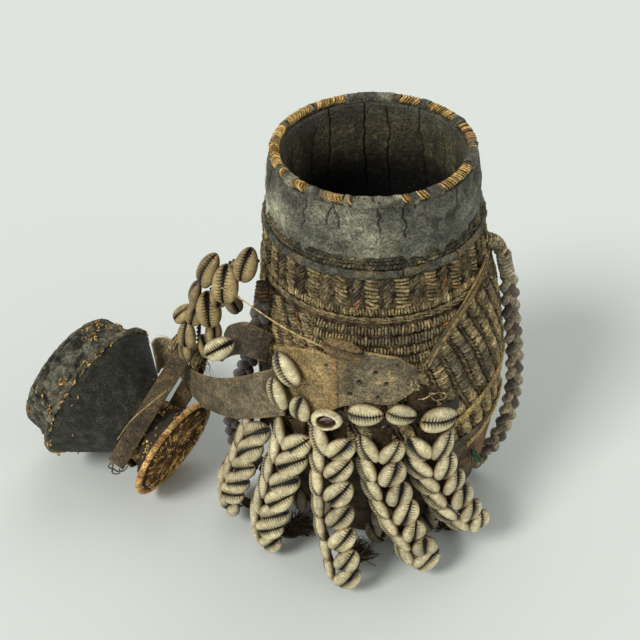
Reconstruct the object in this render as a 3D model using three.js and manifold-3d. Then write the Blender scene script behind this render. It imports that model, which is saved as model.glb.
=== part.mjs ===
// Milk jug: a woven vessel with a charcoal neck, a hide boot, strands of cowrie shells, two rope handles
// and a stopper lid on a tether. Millimetres, +Z up. The front faces -Y, and the origin is the middle of
// the flat base. Azimuths are degrees round the jug, 0 at the front and rising towards +X.
import * as THREE from 'three';
import { mergeVertices } from 'three/addons/utils/BufferGeometryUtils.js';
import Module from 'manifold-3d';

// Vessel
const RIM_HEIGHT = 300;
const MOUTH_RADIUS = 58;
const RIM_WALL = 7;
const COLLAR_BULGE = 3.6;
const COLLAR_HEIGHT = 39;
const VESSEL_WALL = 7;
const VESSEL_FLOOR = 8;
const JACKET_THICKNESS = 3;
const BASE_RADIUS = 62;
const BELLY_RADIUS = 86;
const BELLY_HEIGHT = 125;
const SHOULDER_RADIUS = 74.6;
const SHOULDER_DROP = 42;
const LEAN = -5;
const LEAN_START = 150;
const LEAN_END = 270;
const BODY_SEGMENTS = 30;
const GAP = 0.3;

// Rings on the woven jacket: each stands proud by its thickness
const RIM_BINDING_DEPTH = 6;
const RING_THICKNESS = 2.2;
const SHOULDER_RING_DROP = 11;
const SHOULDER_RING_WIDTH = 7;
const RIDGE_CORD_WIDTH = 3.6;
const COIL_COUNT = 3;
const COIL_WIDTH = 6.6;
const COIL_PITCH = 7.4;
const COIL_DROP = 8;

// Hide boot and leather on the belly
const BOOT_THICKNESS = 2;
const BOOT_HEIGHT = 106;
const LEATHER_THICKNESS = 2.2;
const BELT_HEIGHT = 143;
const BELT_WIDTH = 9;
const BELT_LEFT = -78;
const BELT_RIGHT = 33;
const LACE_WIDTH = 5;
const LACE_THICKNESS = 2;

// Cowrie shells
const SHELL_LENGTH = 24;
const SHELL_WIDTH = 17;
const SHELL_HEIGHT = 9;

// Strands of cowries
const STRAND_GAP = 1;
const STRIP_WIDTH = 13;
const STRIP_THICKNESS = 2.2;
const TOP_ROW_OFFSET = 5.5;
const ROW_OFFSET = 7.6;
const ROW_PITCH = 17.6;
const CLOSE_ROW_PITCH = 16;
const SHELL_SLANT = 40;
const THREAD_RADIUS = 2.4;
const STITCH_RADIUS = 1.6;
const STITCH_GAP = 2 * GAP;
const TOP_SPREAD = 10;
const FLOOR_CLEARANCE = 1.4;

// Rope handles
const ROPE_RADIUS = 5.6;
const LASHING_RADIUS = 5;

// Tether between jug and lid
const TETHER_AXIS_LOW = new THREE.Vector3(-69.1, -58, 144);
const TETHER_AXIS_HIGH = new THREE.Vector3(-79.6, -24.3, 229);
const STRAP_THICKNESS = 2.2;
const STRAP_ROOT_WIDTH = 35;
const STRAP_END_WIDTH = 25;
const STRAP_ROOT_GAP = 1;
const TETHER_CORD_RADIUS = 1.8;

// Lid
const LID_PLUG_CLEARANCE = 5.5;
const LID_PLUG_TAPER = 3;
const LID_PLUG_LENGTH = 30;
const LID_SHOULDER_RADIUS = 59;
const LID_SHOULDER_OFFSET = 52.5;
const LID_WAIST_RADIUS = 25.5;
const LID_FOOT_RADIUS = 43;
const LID_FOOT_OFFSET = 26;
const LID_FOOT_THICKNESS = 4.6;
const LID_WALL = 5;
const LID_BINDING_RADIUS = 2.4;
const LID_HEADING = 145;
const LID_TILT = 17.5;
const LID_PLACE = new THREE.Vector2(-175.9, 5.5);
const LID_SEGMENTS = 28;
const LID_STRAP_WIDTH = 14;
const LID_STRAP_THICKNESS = 2;
const LID_STRAP_CLEARANCE = 0.8;
const LID_STRAP_TAIL = 27;
const KNOT_RADIUS = 5;
const KNOT_END_RADIUS = 8.2;
const KNOT_ANGLE = 52;
const KNOT_REACH = 75;
const KNOT_SIDE = 17;
const WIRE_RADIUS = 0.8;

const wasm = await Module();
wasm.setup();

const jug = new THREE.Group();
jug.name = 'milk_jug';

const degrees = THREE.MathUtils.degToRad;
const mix = THREE.MathUtils.lerp;

// Materials
const FINISHES = {
  charcoal: [0x3f3f3e, 0.9],
  weave: [0x5d5040, 0.92],
  binding: [0xb98a45, 0.85],
  hide: [0x6e4c2c, 0.8],
  leather: [0x5b5045, 0.7],
  shell: [0xcfc3a5, 0.35],
  rope: [0x8c7c66, 0.9],
  cord: [0x7a6a50, 0.9],
  lid_weave: [0x4a4743, 0.9],
  coil: [0x9a6a30, 0.8],
  wire: [0x6b6253, 0.5],
};

function add(name, geometry, finish) {
  const [color, roughness] = FINISHES[finish];
  const metalness = finish === 'wire' ? 0.8 : 0;
  const mesh = new THREE.Mesh(geometry, new THREE.MeshStandardMaterial({ color, roughness, metalness }));
  mesh.name = name;
  jug.add(mesh);
  return mesh;
}

// Closed meshes
function outward(geometry) {
  const bare = geometry.index ? geometry.toNonIndexed() : geometry.clone();
  bare.deleteAttribute('normal');
  bare.deleteAttribute('uv');
  const merged = mergeVertices(bare, 1e-4);
  const position = merged.attributes.position;
  const corner = [new THREE.Vector3(), new THREE.Vector3(), new THREE.Vector3()];
  const kept = [];
  let volume = 0;
  for (let i = 0; i < merged.index.count; i += 3) {
    const ids = [0, 1, 2].map((k) => merged.index.getX(i + k));
    if (ids[0] === ids[1] || ids[1] === ids[2] || ids[2] === ids[0]) {
      continue;
    }
    ids.forEach((id, k) => corner[k].fromBufferAttribute(position, id));
    volume += corner[0].dot(corner[1].clone().cross(corner[2]));
    kept.push(ids);
  }
  const index = volume < 0 ? kept.map(([a, b, c]) => [a, c, b]) : kept;
  merged.setIndex(index.flat());
  return merged;
}

function toManifold(geometry) {
  const closed = outward(geometry);
  const vertProperties = new Float32Array(closed.attributes.position.array);
  const triVerts = new Uint32Array(closed.index.array);
  return new wasm.Manifold(new wasm.Mesh({ numProp: 3, vertProperties, triVerts }));
}

function fromManifold(solid) {
  const mesh = solid.getMesh();
  const geometry = new THREE.BufferGeometry();
  const position = new Float32Array(mesh.numVert * 3);
  for (let i = 0; i < mesh.numVert; i += 1) {
    position.set(mesh.vertProperties.subarray(i * mesh.numProp, i * mesh.numProp + 3), i * 3);
  }
  geometry.setAttribute('position', new THREE.BufferAttribute(position, 3));
  geometry.setIndex([...mesh.triVerts]);
  return geometry;
}

function unite(geometries) {
  const solids = geometries.map(toManifold);
  return fromManifold(solids.reduce((sum, solid) => sum.add(solid)));
}

// Sections of equal point counts, joined into one skin with flat ends
function loft(sections) {
  const sides = sections[0].length;
  const position = sections.flat().flatMap((p) => [p.x, p.y, p.z]);
  const index = [];
  for (let i = 0; i + 1 < sections.length; i += 1) {
    for (let k = 0; k < sides; k += 1) {
      const a = i * sides + k;
      const b = i * sides + ((k + 1) % sides);
      index.push(a, b, a + sides, b, b + sides, a + sides);
    }
  }
  const last = (sections.length - 1) * sides;
  for (let k = 1; k + 1 < sides; k += 1) {
    index.push(0, k + 1, k, last, last + k, last + k + 1);
  }
  const geometry = new THREE.BufferGeometry();
  geometry.setAttribute('position', new THREE.Float32BufferAttribute(position, 3));
  geometry.setIndex(index);
  return outward(geometry);
}

// A flat strip along a path: across(t) is the direction of its width, and width(t) its size
function strip(points, across, width, thickness, steps) {
  const curve = new THREE.CatmullRomCurve3(points, false, 'centripetal');
  const sections = [];
  for (let i = 0; i <= steps; i += 1) {
    const t = i / steps;
    const centre = curve.getPointAt(t);
    const side = across(t).clone().normalize();
    const normal = new THREE.Vector3().crossVectors(curve.getTangentAt(t), side).normalize();
    const half = width(t) / 2;
    const corners = [[-half, -1], [half, -1], [half, 1], [-half, 1]];
    sections.push(corners.map(([w, n]) => centre.clone()
      .addScaledVector(side, w)
      .addScaledVector(normal, (n * thickness) / 2)));
  }
  return loft(sections);
}

function rope(points, radius, sides, steps) {
  const curve = new THREE.CatmullRomCurve3(points, false, 'centripetal');
  const section = new THREE.Shape();
  for (let k = 0; k < sides; k += 1) {
    const angle = (2 * Math.PI * k) / sides;
    const [x, y] = [radius * Math.cos(angle), radius * Math.sin(angle)];
    if (k === 0) {
      section.moveTo(x, y);
    } else {
      section.lineTo(x, y);
    }
  }
  section.closePath();
  return outward(new THREE.ExtrudeGeometry(section, { steps, bevelEnabled: false, extrudePath: curve }));
}

function heights(from, to, count) {
  return Array.from({ length: count + 1 }, (_, i) => mix(from, to, i / count));
}

// The jug's outline: outer radius of the woven jacket by height, as a smooth curve through its keys
const JACKET_TOP = RIM_HEIGHT - COLLAR_HEIGHT;
const NECK_RADIUS = MOUTH_RADIUS + RIM_WALL + COLLAR_BULGE;
const SHOULDER_HEIGHT = JACKET_TOP - SHOULDER_DROP;
const OUTLINE = [
  [0, BASE_RADIUS],
  [22, BASE_RADIUS + 9],
  [60, mix(BASE_RADIUS, BELLY_RADIUS, 0.73)],
  [BELLY_HEIGHT, BELLY_RADIUS],
  [mix(BELLY_HEIGHT, SHOULDER_HEIGHT, 0.6), mix(BELLY_RADIUS, SHOULDER_RADIUS, 0.44)],
  [SHOULDER_HEIGHT, SHOULDER_RADIUS],
  [JACKET_TOP, NECK_RADIUS - 0.8],
];

function outlineRadius(height) {
  const z = THREE.MathUtils.clamp(height, OUTLINE[0][0], OUTLINE[OUTLINE.length - 1][0]);
  const i = Math.max(0, OUTLINE.findIndex(([top]) => z <= top) - 1);
  const slope = (k) => {
    const a = OUTLINE[Math.max(k - 1, 0)];
    const b = OUTLINE[Math.min(k + 1, OUTLINE.length - 1)];
    return (b[1] - a[1]) / (b[0] - a[0]);
  };
  const [z0, r0] = OUTLINE[i];
  const [z1, r1] = OUTLINE[i + 1];
  const span = z1 - z0;
  const t = (z - z0) / span;
  const bend = (1 - t) * (1 - t) * t * slope(i) - t * t * (1 - t) * slope(i + 1);
  return mix(r0, r1, t * t * (3 - 2 * t)) + bend * span;
}

// The wall is straight between these levels, so that everything laid on it keeps its gap
const FLOOR_LEVEL = BOOT_THICKNESS + GAP;
const WALL_START = FLOOR_LEVEL + 4;
const WALL_STEPS = 9;
const wallLevels = heights(WALL_START, JACKET_TOP, WALL_STEPS);

function bodyRadius(height) {
  const level = ((height - WALL_START) / (JACKET_TOP - WALL_START)) * WALL_STEPS;
  const i = THREE.MathUtils.clamp(Math.floor(level), 0, WALL_STEPS - 1);
  return mix(outlineRadius(wallLevels[i]), outlineRadius(wallLevels[i + 1]), level - i);
}

function bodyCentre(height) {
  return LEAN * THREE.MathUtils.smoothstep(height, LEAN_START, LEAN_END);
}

function radial(azimuth) {
  return new THREE.Vector3(Math.sin(degrees(azimuth)), -Math.cos(degrees(azimuth)), 0);
}

function tangential(azimuth) {
  return new THREE.Vector3(Math.cos(degrees(azimuth)), Math.sin(degrees(azimuth)), 0);
}

function onBody(azimuth, height, out) {
  const point = radial(azimuth).multiplyScalar(bodyRadius(height) + out);
  return point.add(new THREE.Vector3(bodyCentre(height), 0, height));
}

function lean(geometry) {
  const position = geometry.attributes.position;
  for (let i = 0; i < position.count; i += 1) {
    position.setX(i, position.getX(i) + bodyCentre(position.getZ(i)));
  }
  return geometry;
}

// A solid of revolution round Z, from [radius, height] pairs that end on the axis or close on themselves
function turned(profile, segments) {
  const geometry = new THREE.LatheGeometry(profile.map(([r, z]) => new THREE.Vector2(r, z)), segments);
  return outward(geometry.rotateX(Math.PI / 2));
}

function ring(radius, height, halfWidth, halfHeight, sides, segments) {
  const profile = [];
  for (let k = 0; k <= sides; k += 1) {
    const angle = (2 * Math.PI * (k % sides)) / sides;
    profile.push([radius + halfWidth * Math.cos(angle), height + halfHeight * Math.sin(angle)]);
  }
  return turned(profile, segments);
}

// Vessel: the hidden wall inside the jacket, and the collar that stands above it
const rimOuter = MOUTH_RADIUS + RIM_WALL;
const vesselSkin = (z) => bodyRadius(z) - JACKET_THICKNESS - GAP;

const bindingBottom = RIM_HEIGHT - RIM_BINDING_DEPTH;

function innerVessel() {
  const outer = [FLOOR_LEVEL, ...wallLevels].map((z) => [vesselSkin(z), z]);
  const collarRise = bindingBottom - JACKET_TOP;
  const collar = [
    [NECK_RADIUS - 1.2, JACKET_TOP + 0.6],
    [NECK_RADIUS, JACKET_TOP + 0.35 * collarRise],
    [mix(rimOuter, NECK_RADIUS, 0.6), JACKET_TOP + 0.7 * collarRise],
    [rimOuter, bindingBottom],
    [MOUTH_RADIUS, bindingBottom],
  ];
  const floor = FLOOR_LEVEL + VESSEL_FLOOR;
  const inner = heights(JACKET_TOP + 8, floor + 6, 5).map((z) => [vesselSkin(z) - VESSEL_WALL, z]);
  const corner = [vesselSkin(floor) - VESSEL_WALL - 8, floor];
  const profile = [[0, FLOOR_LEVEL], ...outer, ...collar, ...inner, corner, [0, floor]];
  return lean(turned(profile, BODY_SEGMENTS));
}
add('inner_vessel', innerVessel(), 'charcoal');

function wovenJacket() {
  const outer = wallLevels.map((z) => [bodyRadius(z), z]);
  const inner = wallLevels.map((z) => [bodyRadius(z) - JACKET_THICKNESS, z]).reverse();
  return lean(turned([...outer, ...inner, outer[0]], BODY_SEGMENTS));
}
add('woven_jacket', wovenJacket(), 'weave');

const bindingHeight = RIM_BINDING_DEPTH - GAP;
add('rim_binding', lean(ring(
  MOUTH_RADIUS + RIM_WALL / 2,
  RIM_HEIGHT - bindingHeight / 2,
  RIM_WALL / 2 + 0.4,
  bindingHeight / 2,
  8,
  BODY_SEGMENTS,
)), 'binding');

// A flat ring round the jacket, standing proud by a thickness
function bodyRing(height, width, thickness) {
  const inner = (z) => bodyRadius(z) + GAP;
  const bottom = height - width / 2;
  const top = height + width / 2;
  return lean(turned([
    [inner(bottom), bottom],
    [inner(bottom) + 0.7 * thickness, bottom + 0.12 * width],
    [inner(height) + thickness, height],
    [inner(top) + 0.7 * thickness, top - 0.12 * width],
    [inner(top), top],
    [inner(bottom), bottom],
  ], BODY_SEGMENTS));
}
const shoulderRingHeight = JACKET_TOP - SHOULDER_RING_DROP;
add('shoulder_ring', bodyRing(shoulderRingHeight, SHOULDER_RING_WIDTH, RING_THICKNESS), 'charcoal');
add('ridge_cord', bodyRing(SHOULDER_HEIGHT, RIDGE_CORD_WIDTH, RING_THICKNESS), 'cord');
for (let i = 0; i < COIL_COUNT; i += 1) {
  const height = SHOULDER_HEIGHT - COIL_DROP - i * COIL_PITCH;
  add(`belly_coil_${i + 1}`, bodyRing(height, COIL_WIDTH, RING_THICKNESS), 'weave');
}

// Hide boot: a cup over the lower jacket, whose flat underside is what the jug stands on
function hideBoot() {
  const levels = [FLOOR_LEVEL, ...wallLevels.filter((z) => z < BOOT_HEIGHT), BOOT_HEIGHT];
  const outer = levels.map((z) => [bodyRadius(z) + GAP + BOOT_THICKNESS, z]);
  const inner = levels.map((z) => [bodyRadius(z) + GAP, z]).reverse();
  const foot = bodyRadius(0) - 1;
  const floor = BOOT_THICKNESS;
  return turned([[0, 0], [foot, 0], ...outer, ...inner, [bodyRadius(0) - 2, floor], [0, floor]],
    BODY_SEGMENTS);
}
add('hide_boot', hideBoot(), 'hide');

// A piece of leather that follows the jug's surface: place(u, v) gives [azimuth, height]
function patch(place, across, up, out, thickness) {
  const grid = (depth) => {
    const points = [];
    for (let j = 0; j <= up; j += 1) {
      for (let i = 0; i <= across; i += 1) {
        const [azimuth, height] = place(i / across, j / up);
        points.push(onBody(azimuth, height, out + depth));
      }
    }
    return points;
  };
  const points = [...grid(0), ...grid(thickness)];
  const row = across + 1;
  const layer = row * (up + 1);
  const index = [];
  const quad = (a, b, c, d) => index.push(a, b, c, a, c, d);
  for (let j = 0; j < up; j += 1) {
    for (let i = 0; i < across; i += 1) {
      const a = j * row + i;
      quad(a, a + row, a + row + 1, a + 1);
      quad(layer + a, layer + a + 1, layer + a + row + 1, layer + a + row);
    }
  }
  for (let i = 0; i < across; i += 1) {
    const top = up * row + i;
    quad(i, i + 1, layer + i + 1, layer + i);
    quad(top + 1, top, layer + top, layer + top + 1);
  }
  for (let j = 0; j < up; j += 1) {
    const a = j * row;
    const b = a + across;
    quad(a + row, a, layer + a, layer + a + row);
    quad(b, b + row, layer + b + row, layer + b);
  }
  const geometry = new THREE.BufferGeometry();
  geometry.setAttribute('position', new THREE.Float32BufferAttribute(points.flatMap((p) => p.toArray()), 3));
  geometry.setIndex(index);
  return outward(geometry);
}

// Height of a leather edge by azimuth, straight between its corners, which are heights above the belt
function edge(corners) {
  return (azimuth) => {
    const k = Math.max(1, corners.findIndex(([a]) => azimuth <= a));
    const [a0, z0] = corners[k - 1];
    const [a1, z1] = corners[k];
    return BELT_HEIGHT + mix(z0, z1, THREE.MathUtils.clamp((azimuth - a0) / (a1 - a0), 0, 1));
  };
}

const tetherAxis = TETHER_AXIS_HIGH.clone().sub(TETHER_AXIS_LOW).normalize();
// The belt that the strands hang from, tied on over the woven jacket
const beltTop = BELT_HEIGHT + BELT_WIDTH / 2;
const beltBottom = BELT_HEIGHT - BELT_WIDTH / 2;
const BELT_OUT = GAP;
add('strand_belt', patch(
  (u, v) => [mix(BELT_LEFT, BELT_RIGHT, u), mix(beltBottom, beltTop, v)],
  16, 1, BELT_OUT, LEATHER_THICKNESS,
), 'leather');

// The belly band covers the belt. Its left end is cut along the tether's hinge line.
const BAND_OUT = BELT_OUT + LEATHER_THICKNESS + 2 * GAP;
const bandTop = edge([[-60, 25], [-39, 42], [-25, 50], [-15, 48], [-6, 56], [6, 52], [14, 41]]);
const bandBottom = edge([[-60, -7], [-50, -3.5], [-31, -1], [-19, 11], [-8, 18], [2, 17], [14, 30]]);
const hingeAzimuth = THREE.MathUtils.radToDeg(Math.atan2(TETHER_AXIS_LOW.x, -TETHER_AXIS_LOW.y));
const hingeSlope = THREE.MathUtils.radToDeg(
  tetherAxis.dot(tangential(hingeAzimuth)) / tetherAxis.z / BELLY_RADIUS,
);
function bandPlace(u, v) {
  const rough = mix(hingeAzimuth, 13, u);
  const height = mix(bandBottom(rough), bandTop(rough), v);
  const left = hingeAzimuth + (height - TETHER_AXIS_LOW.z) * hingeSlope + 0.8;
  return [mix(left, 13, u), height];
}
add('belly_band', patch(bandPlace, 12, 3, BAND_OUT, LEATHER_THICKNESS), 'leather');

// A second leather patch shows below the band's right end
const PATCH_LEFT = 8;
const PATCH_RIGHT = 21;
const patchTop = edge([[8, 19], [13, 27], [21, 22]]);
const patchBottom = beltTop + STRAND_GAP;
add('lower_patch', patch(
  (u, v) => {
    const azimuth = mix(PATCH_LEFT, PATCH_RIGHT, u);
    return [azimuth, mix(patchBottom, patchTop(azimuth), v)];
  },
  3, 2, BELT_OUT, LEATHER_THICKNESS,
), 'leather');

// Laces, laid along the jug's surface through [azimuth, height] points
function lace(points, out) {
  const route = new THREE.SplineCurve(points.map(([azimuth, height]) => new THREE.Vector2(azimuth, height)));
  const places = route.getSpacedPoints(2 * points.length)
    .map(({ x, y }) => onBody(x, y, out + LACE_THICKNESS / 2));
  const curve = new THREE.CatmullRomCurve3(places, false, 'centripetal');
  const across = (t) => {
    const centre = curve.getPointAt(t);
    const outwards = new THREE.Vector3(centre.x - bodyCentre(centre.z), centre.y, 0);
    return new THREE.Vector3().crossVectors(curve.getTangentAt(t), outwards);
  };
  return strip(places, across, () => LACE_WIDTH, LACE_THICKNESS, 3 * points.length);
}
add('upper_lace', lace(
  [[17, BELT_HEIGHT + 41], [24, 198], [38, 213], [54, 225], [66, 231]],
  RING_THICKNESS + 3 * GAP,
), 'cord');
add('lower_lace', lace([[31, BELT_HEIGHT - 18], [45, 133], [65, 139], [82, 142]], 3 * GAP), 'cord');

// Cowrie shells: the long axis is X, the flat sewn back is at z = 0, the slit side faces +Z
function cowrie(size = 1, sides = 8) {
  const geometry = new THREE.SphereGeometry(1, sides, 4).rotateZ(Math.PI / 2);
  const position = geometry.attributes.position;
  for (let i = 0; i < position.count; i += 1) {
    const [x, y, z] = [position.getX(i), position.getY(i), position.getZ(i)];
    const taper = 1 - 0.16 * x;
    position.setXYZ(
      i,
      (size * x * SHELL_LENGTH) / 2,
      (size * y * taper * SHELL_WIDTH) / 2,
      size * SHELL_HEIGHT * (0.38 + (z > 0 ? 0.62 : 0.38) * z),
    );
  }
  return geometry;
}

// Turns a shell so that its long axis lies along a direction and its slit side faces a normal
function laid(geometry, place, along, normal) {
  const z = normal.clone().normalize();
  const x = along.clone().addScaledVector(z, -along.dot(z)).normalize();
  const y = new THREE.Vector3().crossVectors(z, x);
  const frame = new THREE.Matrix4().makeBasis(x, y, z).setPosition(place);
  return geometry.applyMatrix4(frame);
}

// Strands: each hangs from the belt, swells out, and turns under itself on the floor. line holds the
// [azimuth, radius, height] places of its hide strip, facing is where the ridge between its rows looks,
// spread is half the angle between the rows, drop is how far down its first shells sit, rows is how many
// pairs of shells it has, and pitch is their distance along the strip.
const STRANDS = [
  {
    line: [[-63, 93, 103], [-63, 103, 80], [-65, 112, 54], [-69, 116, 32]],
    facing: -68, spread: 26, drop: 39, rows: 6, pitch: CLOSE_ROW_PITCH,
  },
  {
    line: [[-42, 90, 110], [-43, 100, 84], [-45.5, 106, 56], [-48.5, 109, 32]],
    facing: -54, spread: 32, drop: 25, rows: 7, pitch: CLOSE_ROW_PITCH,
  },
  {
    line: [[-22.6, 89.5, 110], [-21, 97, 86], [-18.5, 105, 58], [-15.5, 110, 32]],
    facing: -42, spread: 36, drop: 14, rows: 7, pitch: ROW_PITCH,
  },
  {
    line: [[-2.6, 88.5, 110], [1.3, 91, 86], [6.5, 95, 58], [13.5, 98, 32]],
    facing: -22, spread: 32, drop: 14, rows: 7, pitch: ROW_PITCH,
  },
  {
    line: [[17.6, 88.5, 110], [23, 90, 86], [30.5, 94, 56], [38.5, 97, 32]],
    facing: 2, spread: 32, drop: 16, rows: 6, pitch: ROW_PITCH,
  },
];

const strandTop = beltBottom - STRAND_GAP;
const strandBend = FLOOR_CLEARANCE + SHELL_HEIGHT + STRIP_THICKNESS + SHELL_WIDTH / 5;
function strandPath({ line }) {
  const azimuth = line[0][0];
  const [foot, swell] = line[line.length - 1];
  const stations = [
    [azimuth, bodyRadius(strandTop) + GAP + STRIP_THICKNESS / 2, strandTop],
    ...line,
    [foot, swell - 1, strandBend + 3],
    [foot, swell - 7, strandBend - 6],
    [foot, swell - 14, STRIP_THICKNESS * 1.5],
    [foot, swell - 23, FLOOR_CLEARANCE + STRIP_THICKNESS / 2],
  ];
  return new THREE.CatmullRomCurve3(
    stations.map(([angle, r, z]) => radial(angle).multiplyScalar(r).setZ(z)),
    false,
    'centripetal',
  );
}

// A strand lies flat on the belly at its top, and has turned and rounded out by this share of its length
const STRAND_TURN = 0.4;
function strandAcross({ line, facing }, t) {
  return tangential(mix(line[0][0], facing, THREE.MathUtils.smoothstep(t, 0, STRAND_TURN)));
}

function strandShells(strand) {
  const curve = strandPath(strand);
  const length = curve.getLength();
  const slant = degrees(SHELL_SLANT);
  const shells = [];
  const thread = [];
  const stitches = [];
  for (let i = 0; i < strand.rows; i += 1) {
    const t = (strand.drop + i * strand.pitch) / length;
    const centre = curve.getPointAt(t);
    const down = curve.getTangentAt(t);
    const across = strandAcross(strand, t);
    const ridge = new THREE.Vector3().crossVectors(down, across).normalize();
    const roundness = THREE.MathUtils.smoothstep(t, 0, STRAND_TURN);
    const turn = degrees(mix(TOP_SPREAD, strand.spread, roundness));
    // The rows draw apart as the strand rounds out, and the last pair closes up again
    const rowOffset = mix(TOP_ROW_OFFSET, ROW_OFFSET, i < strand.rows - 1 ? roundness ** 2 : 0);
    const lift = STRIP_THICKNESS / 2 + GAP + (Math.sin(turn) * SHELL_WIDTH) / 2;
    const meeting = 0.38 * SHELL_HEIGHT + 0.8 * rowOffset * Math.tan(turn);
    thread.push(centre.clone().addScaledVector(ridge, lift + meeting));
    // A stitch ties each pair but the last down to the strip
    if (i < strand.rows - 1) {
      const foot = centre.clone().addScaledVector(ridge, STRIP_THICKNESS / 2 + STITCH_GAP);
      stitches.push(rope([thread[i], thread[i].clone().lerp(foot, 0.5), foot], STITCH_RADIUS, 5, 2));
    }
    for (const hand of [-1, 1]) {
      const normal = ridge.clone().multiplyScalar(Math.cos(turn))
        .addScaledVector(across, hand * Math.sin(turn));
      const inward = new THREE.Vector3().crossVectors(down, normal).multiplyScalar(hand).normalize();
      const along = down.clone().multiplyScalar(Math.cos(slant)).addScaledVector(inward, Math.sin(slant));
      const place = centre.clone()
        .addScaledVector(across, hand * rowOffset)
        .addScaledVector(ridge, lift);
      shells.push(laid(cowrie(1.02, 6), place, along.negate(), normal));
    }
  }
  return unite([...shells, ...stitches, rope(thread, THREAD_RADIUS, 5, strand.rows)]);
}

function strandStrip(strand) {
  const points = strandPath(strand).getSpacedPoints(12);
  return strip(points, (t) => strandAcross(strand, t), () => STRIP_WIDTH, STRIP_THICKNESS, 16);
}

STRANDS.forEach((strand, i) => {
  add(`strand_${i + 1}_shells`, strandShells(strand), 'shell');
  add(`strand_${i + 1}_strip`, strandStrip(strand), 'hide');
});

// Single cowries sewn to the band and belt: name, azimuth, height above the belt, distance out, turn of the
// long axis and size
const bandFace = BAND_OUT + LEATHER_THICKNESS + GAP;
const beltFace = BELT_OUT + LEATHER_THICKNESS + GAP;
const SEWN_COWRIES = [
  ['hanging_cowrie_1', -44.5, 29, bandFace, 128, 1.1],
  ['hanging_cowrie_2', -48, 7, bandFace + 2.5, 105, 1.05],
  ['hanging_cowrie_3', -37, 3, bandFace + 1, 82, 0.9],
  ['ring_cowrie', -25.5, 1, bandFace, 10, 0.9],
  ['band_cowrie_1', -9.5, 10, beltFace + 1, 2, 0.95],
  ['band_cowrie_2', 5, 9, beltFace + 1, -22, 0.85],
  ['band_cowrie_3', 20, 2, beltFace + 3, -12, 1.1],
];

function sewnCowrie(azimuth, rise, out, turn, size) {
  const along = tangential(azimuth).multiplyScalar(Math.cos(degrees(turn)));
  along.z += Math.sin(degrees(turn));
  return laid(cowrie(size), onBody(azimuth, BELT_HEIGHT + rise, out), along, radial(azimuth));
}
for (const [name, azimuth, rise, out, turn, size] of SEWN_COWRIES) {
  add(name, sewnCowrie(azimuth, rise, out, turn, size), 'shell');
}

// A small folded leather tab sits over the lowest coil, above the band
function tab() {
  const geometry = new THREE.SphereGeometry(1, 8, 5).scale(9, 5, 4);
  return laid(
    geometry,
    onBody(-17.5, BELT_HEIGHT + 60, RING_THICKNESS + 5),
    tangential(-17.5).add(new THREE.Vector3(0, 0, -0.3)),
    radial(-17.5),
  );
}
add('leather_tab', outward(tab()), 'leather');

// A stiff leather flap stands off the left of the belly, with one cowrie at its end
const flapPoints = [[-76, -47, 174], [-84, -48, 180], [-93, -45, 182], [-103, -41, 176], [-108, -37, 168]]
  .map((p) => new THREE.Vector3(...p));
add('side_flap', strip(
  flapPoints,
  () => new THREE.Vector3(0.25, 0.35, 0.9),
  (t) => mix(20, 27, t),
  LEATHER_THICKNESS,
  10,
), 'leather');
add('flap_cowrie', outward(laid(
  cowrie(0.95),
  new THREE.Vector3(-107.5, -46, 173),
  new THREE.Vector3(0.8, -0.1, 0.55),
  new THREE.Vector3(-0.25, -0.85, 0.45),
)), 'shell');

// Lid frame: it lies on its foot, and its strap holds the shoulder just off the floor
const lidTilt = degrees(LID_TILT);
const lidAxis = new THREE.Vector3(
  Math.cos(lidTilt) * Math.cos(degrees(LID_HEADING)),
  Math.cos(lidTilt) * Math.sin(degrees(LID_HEADING)),
  Math.sin(lidTilt),
);
const footMiddle = -LID_FOOT_OFFSET + LID_FOOT_THICKNESS / 2;
const footRingRadius = LID_FOOT_RADIUS - LID_BINDING_RADIUS;
const lidCentre = new THREE.Vector3(
  LID_PLACE.x,
  LID_PLACE.y,
  footRingRadius * Math.cos(lidTilt) + LID_BINDING_RADIUS - footMiddle * Math.sin(lidTilt),
);
const lidSide = new THREE.Vector3(lidAxis.y, -lidAxis.x, 0).normalize();
const lidUp = new THREE.Vector3().crossVectors(lidSide, lidAxis).normalize();
const towardsKnot = lidSide.clone().multiplyScalar(Math.cos(degrees(KNOT_ANGLE)))
  .addScaledVector(lidUp, Math.sin(degrees(KNOT_ANGLE)));
const towardsBack = new THREE.Vector3().crossVectors(lidAxis, towardsKnot).normalize();
const lidFrame = new THREE.Matrix4().makeBasis(towardsKnot, towardsBack, lidAxis).setPosition(lidCentre);

function onLid(profile) {
  return turned(profile, LID_SEGMENTS).applyMatrix4(lidFrame);
}

function lidRing(radius, offset) {
  return ring(radius, offset, LID_BINDING_RADIUS, LID_BINDING_RADIUS, 6, LID_SEGMENTS)
    .applyMatrix4(lidFrame);
}

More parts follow.
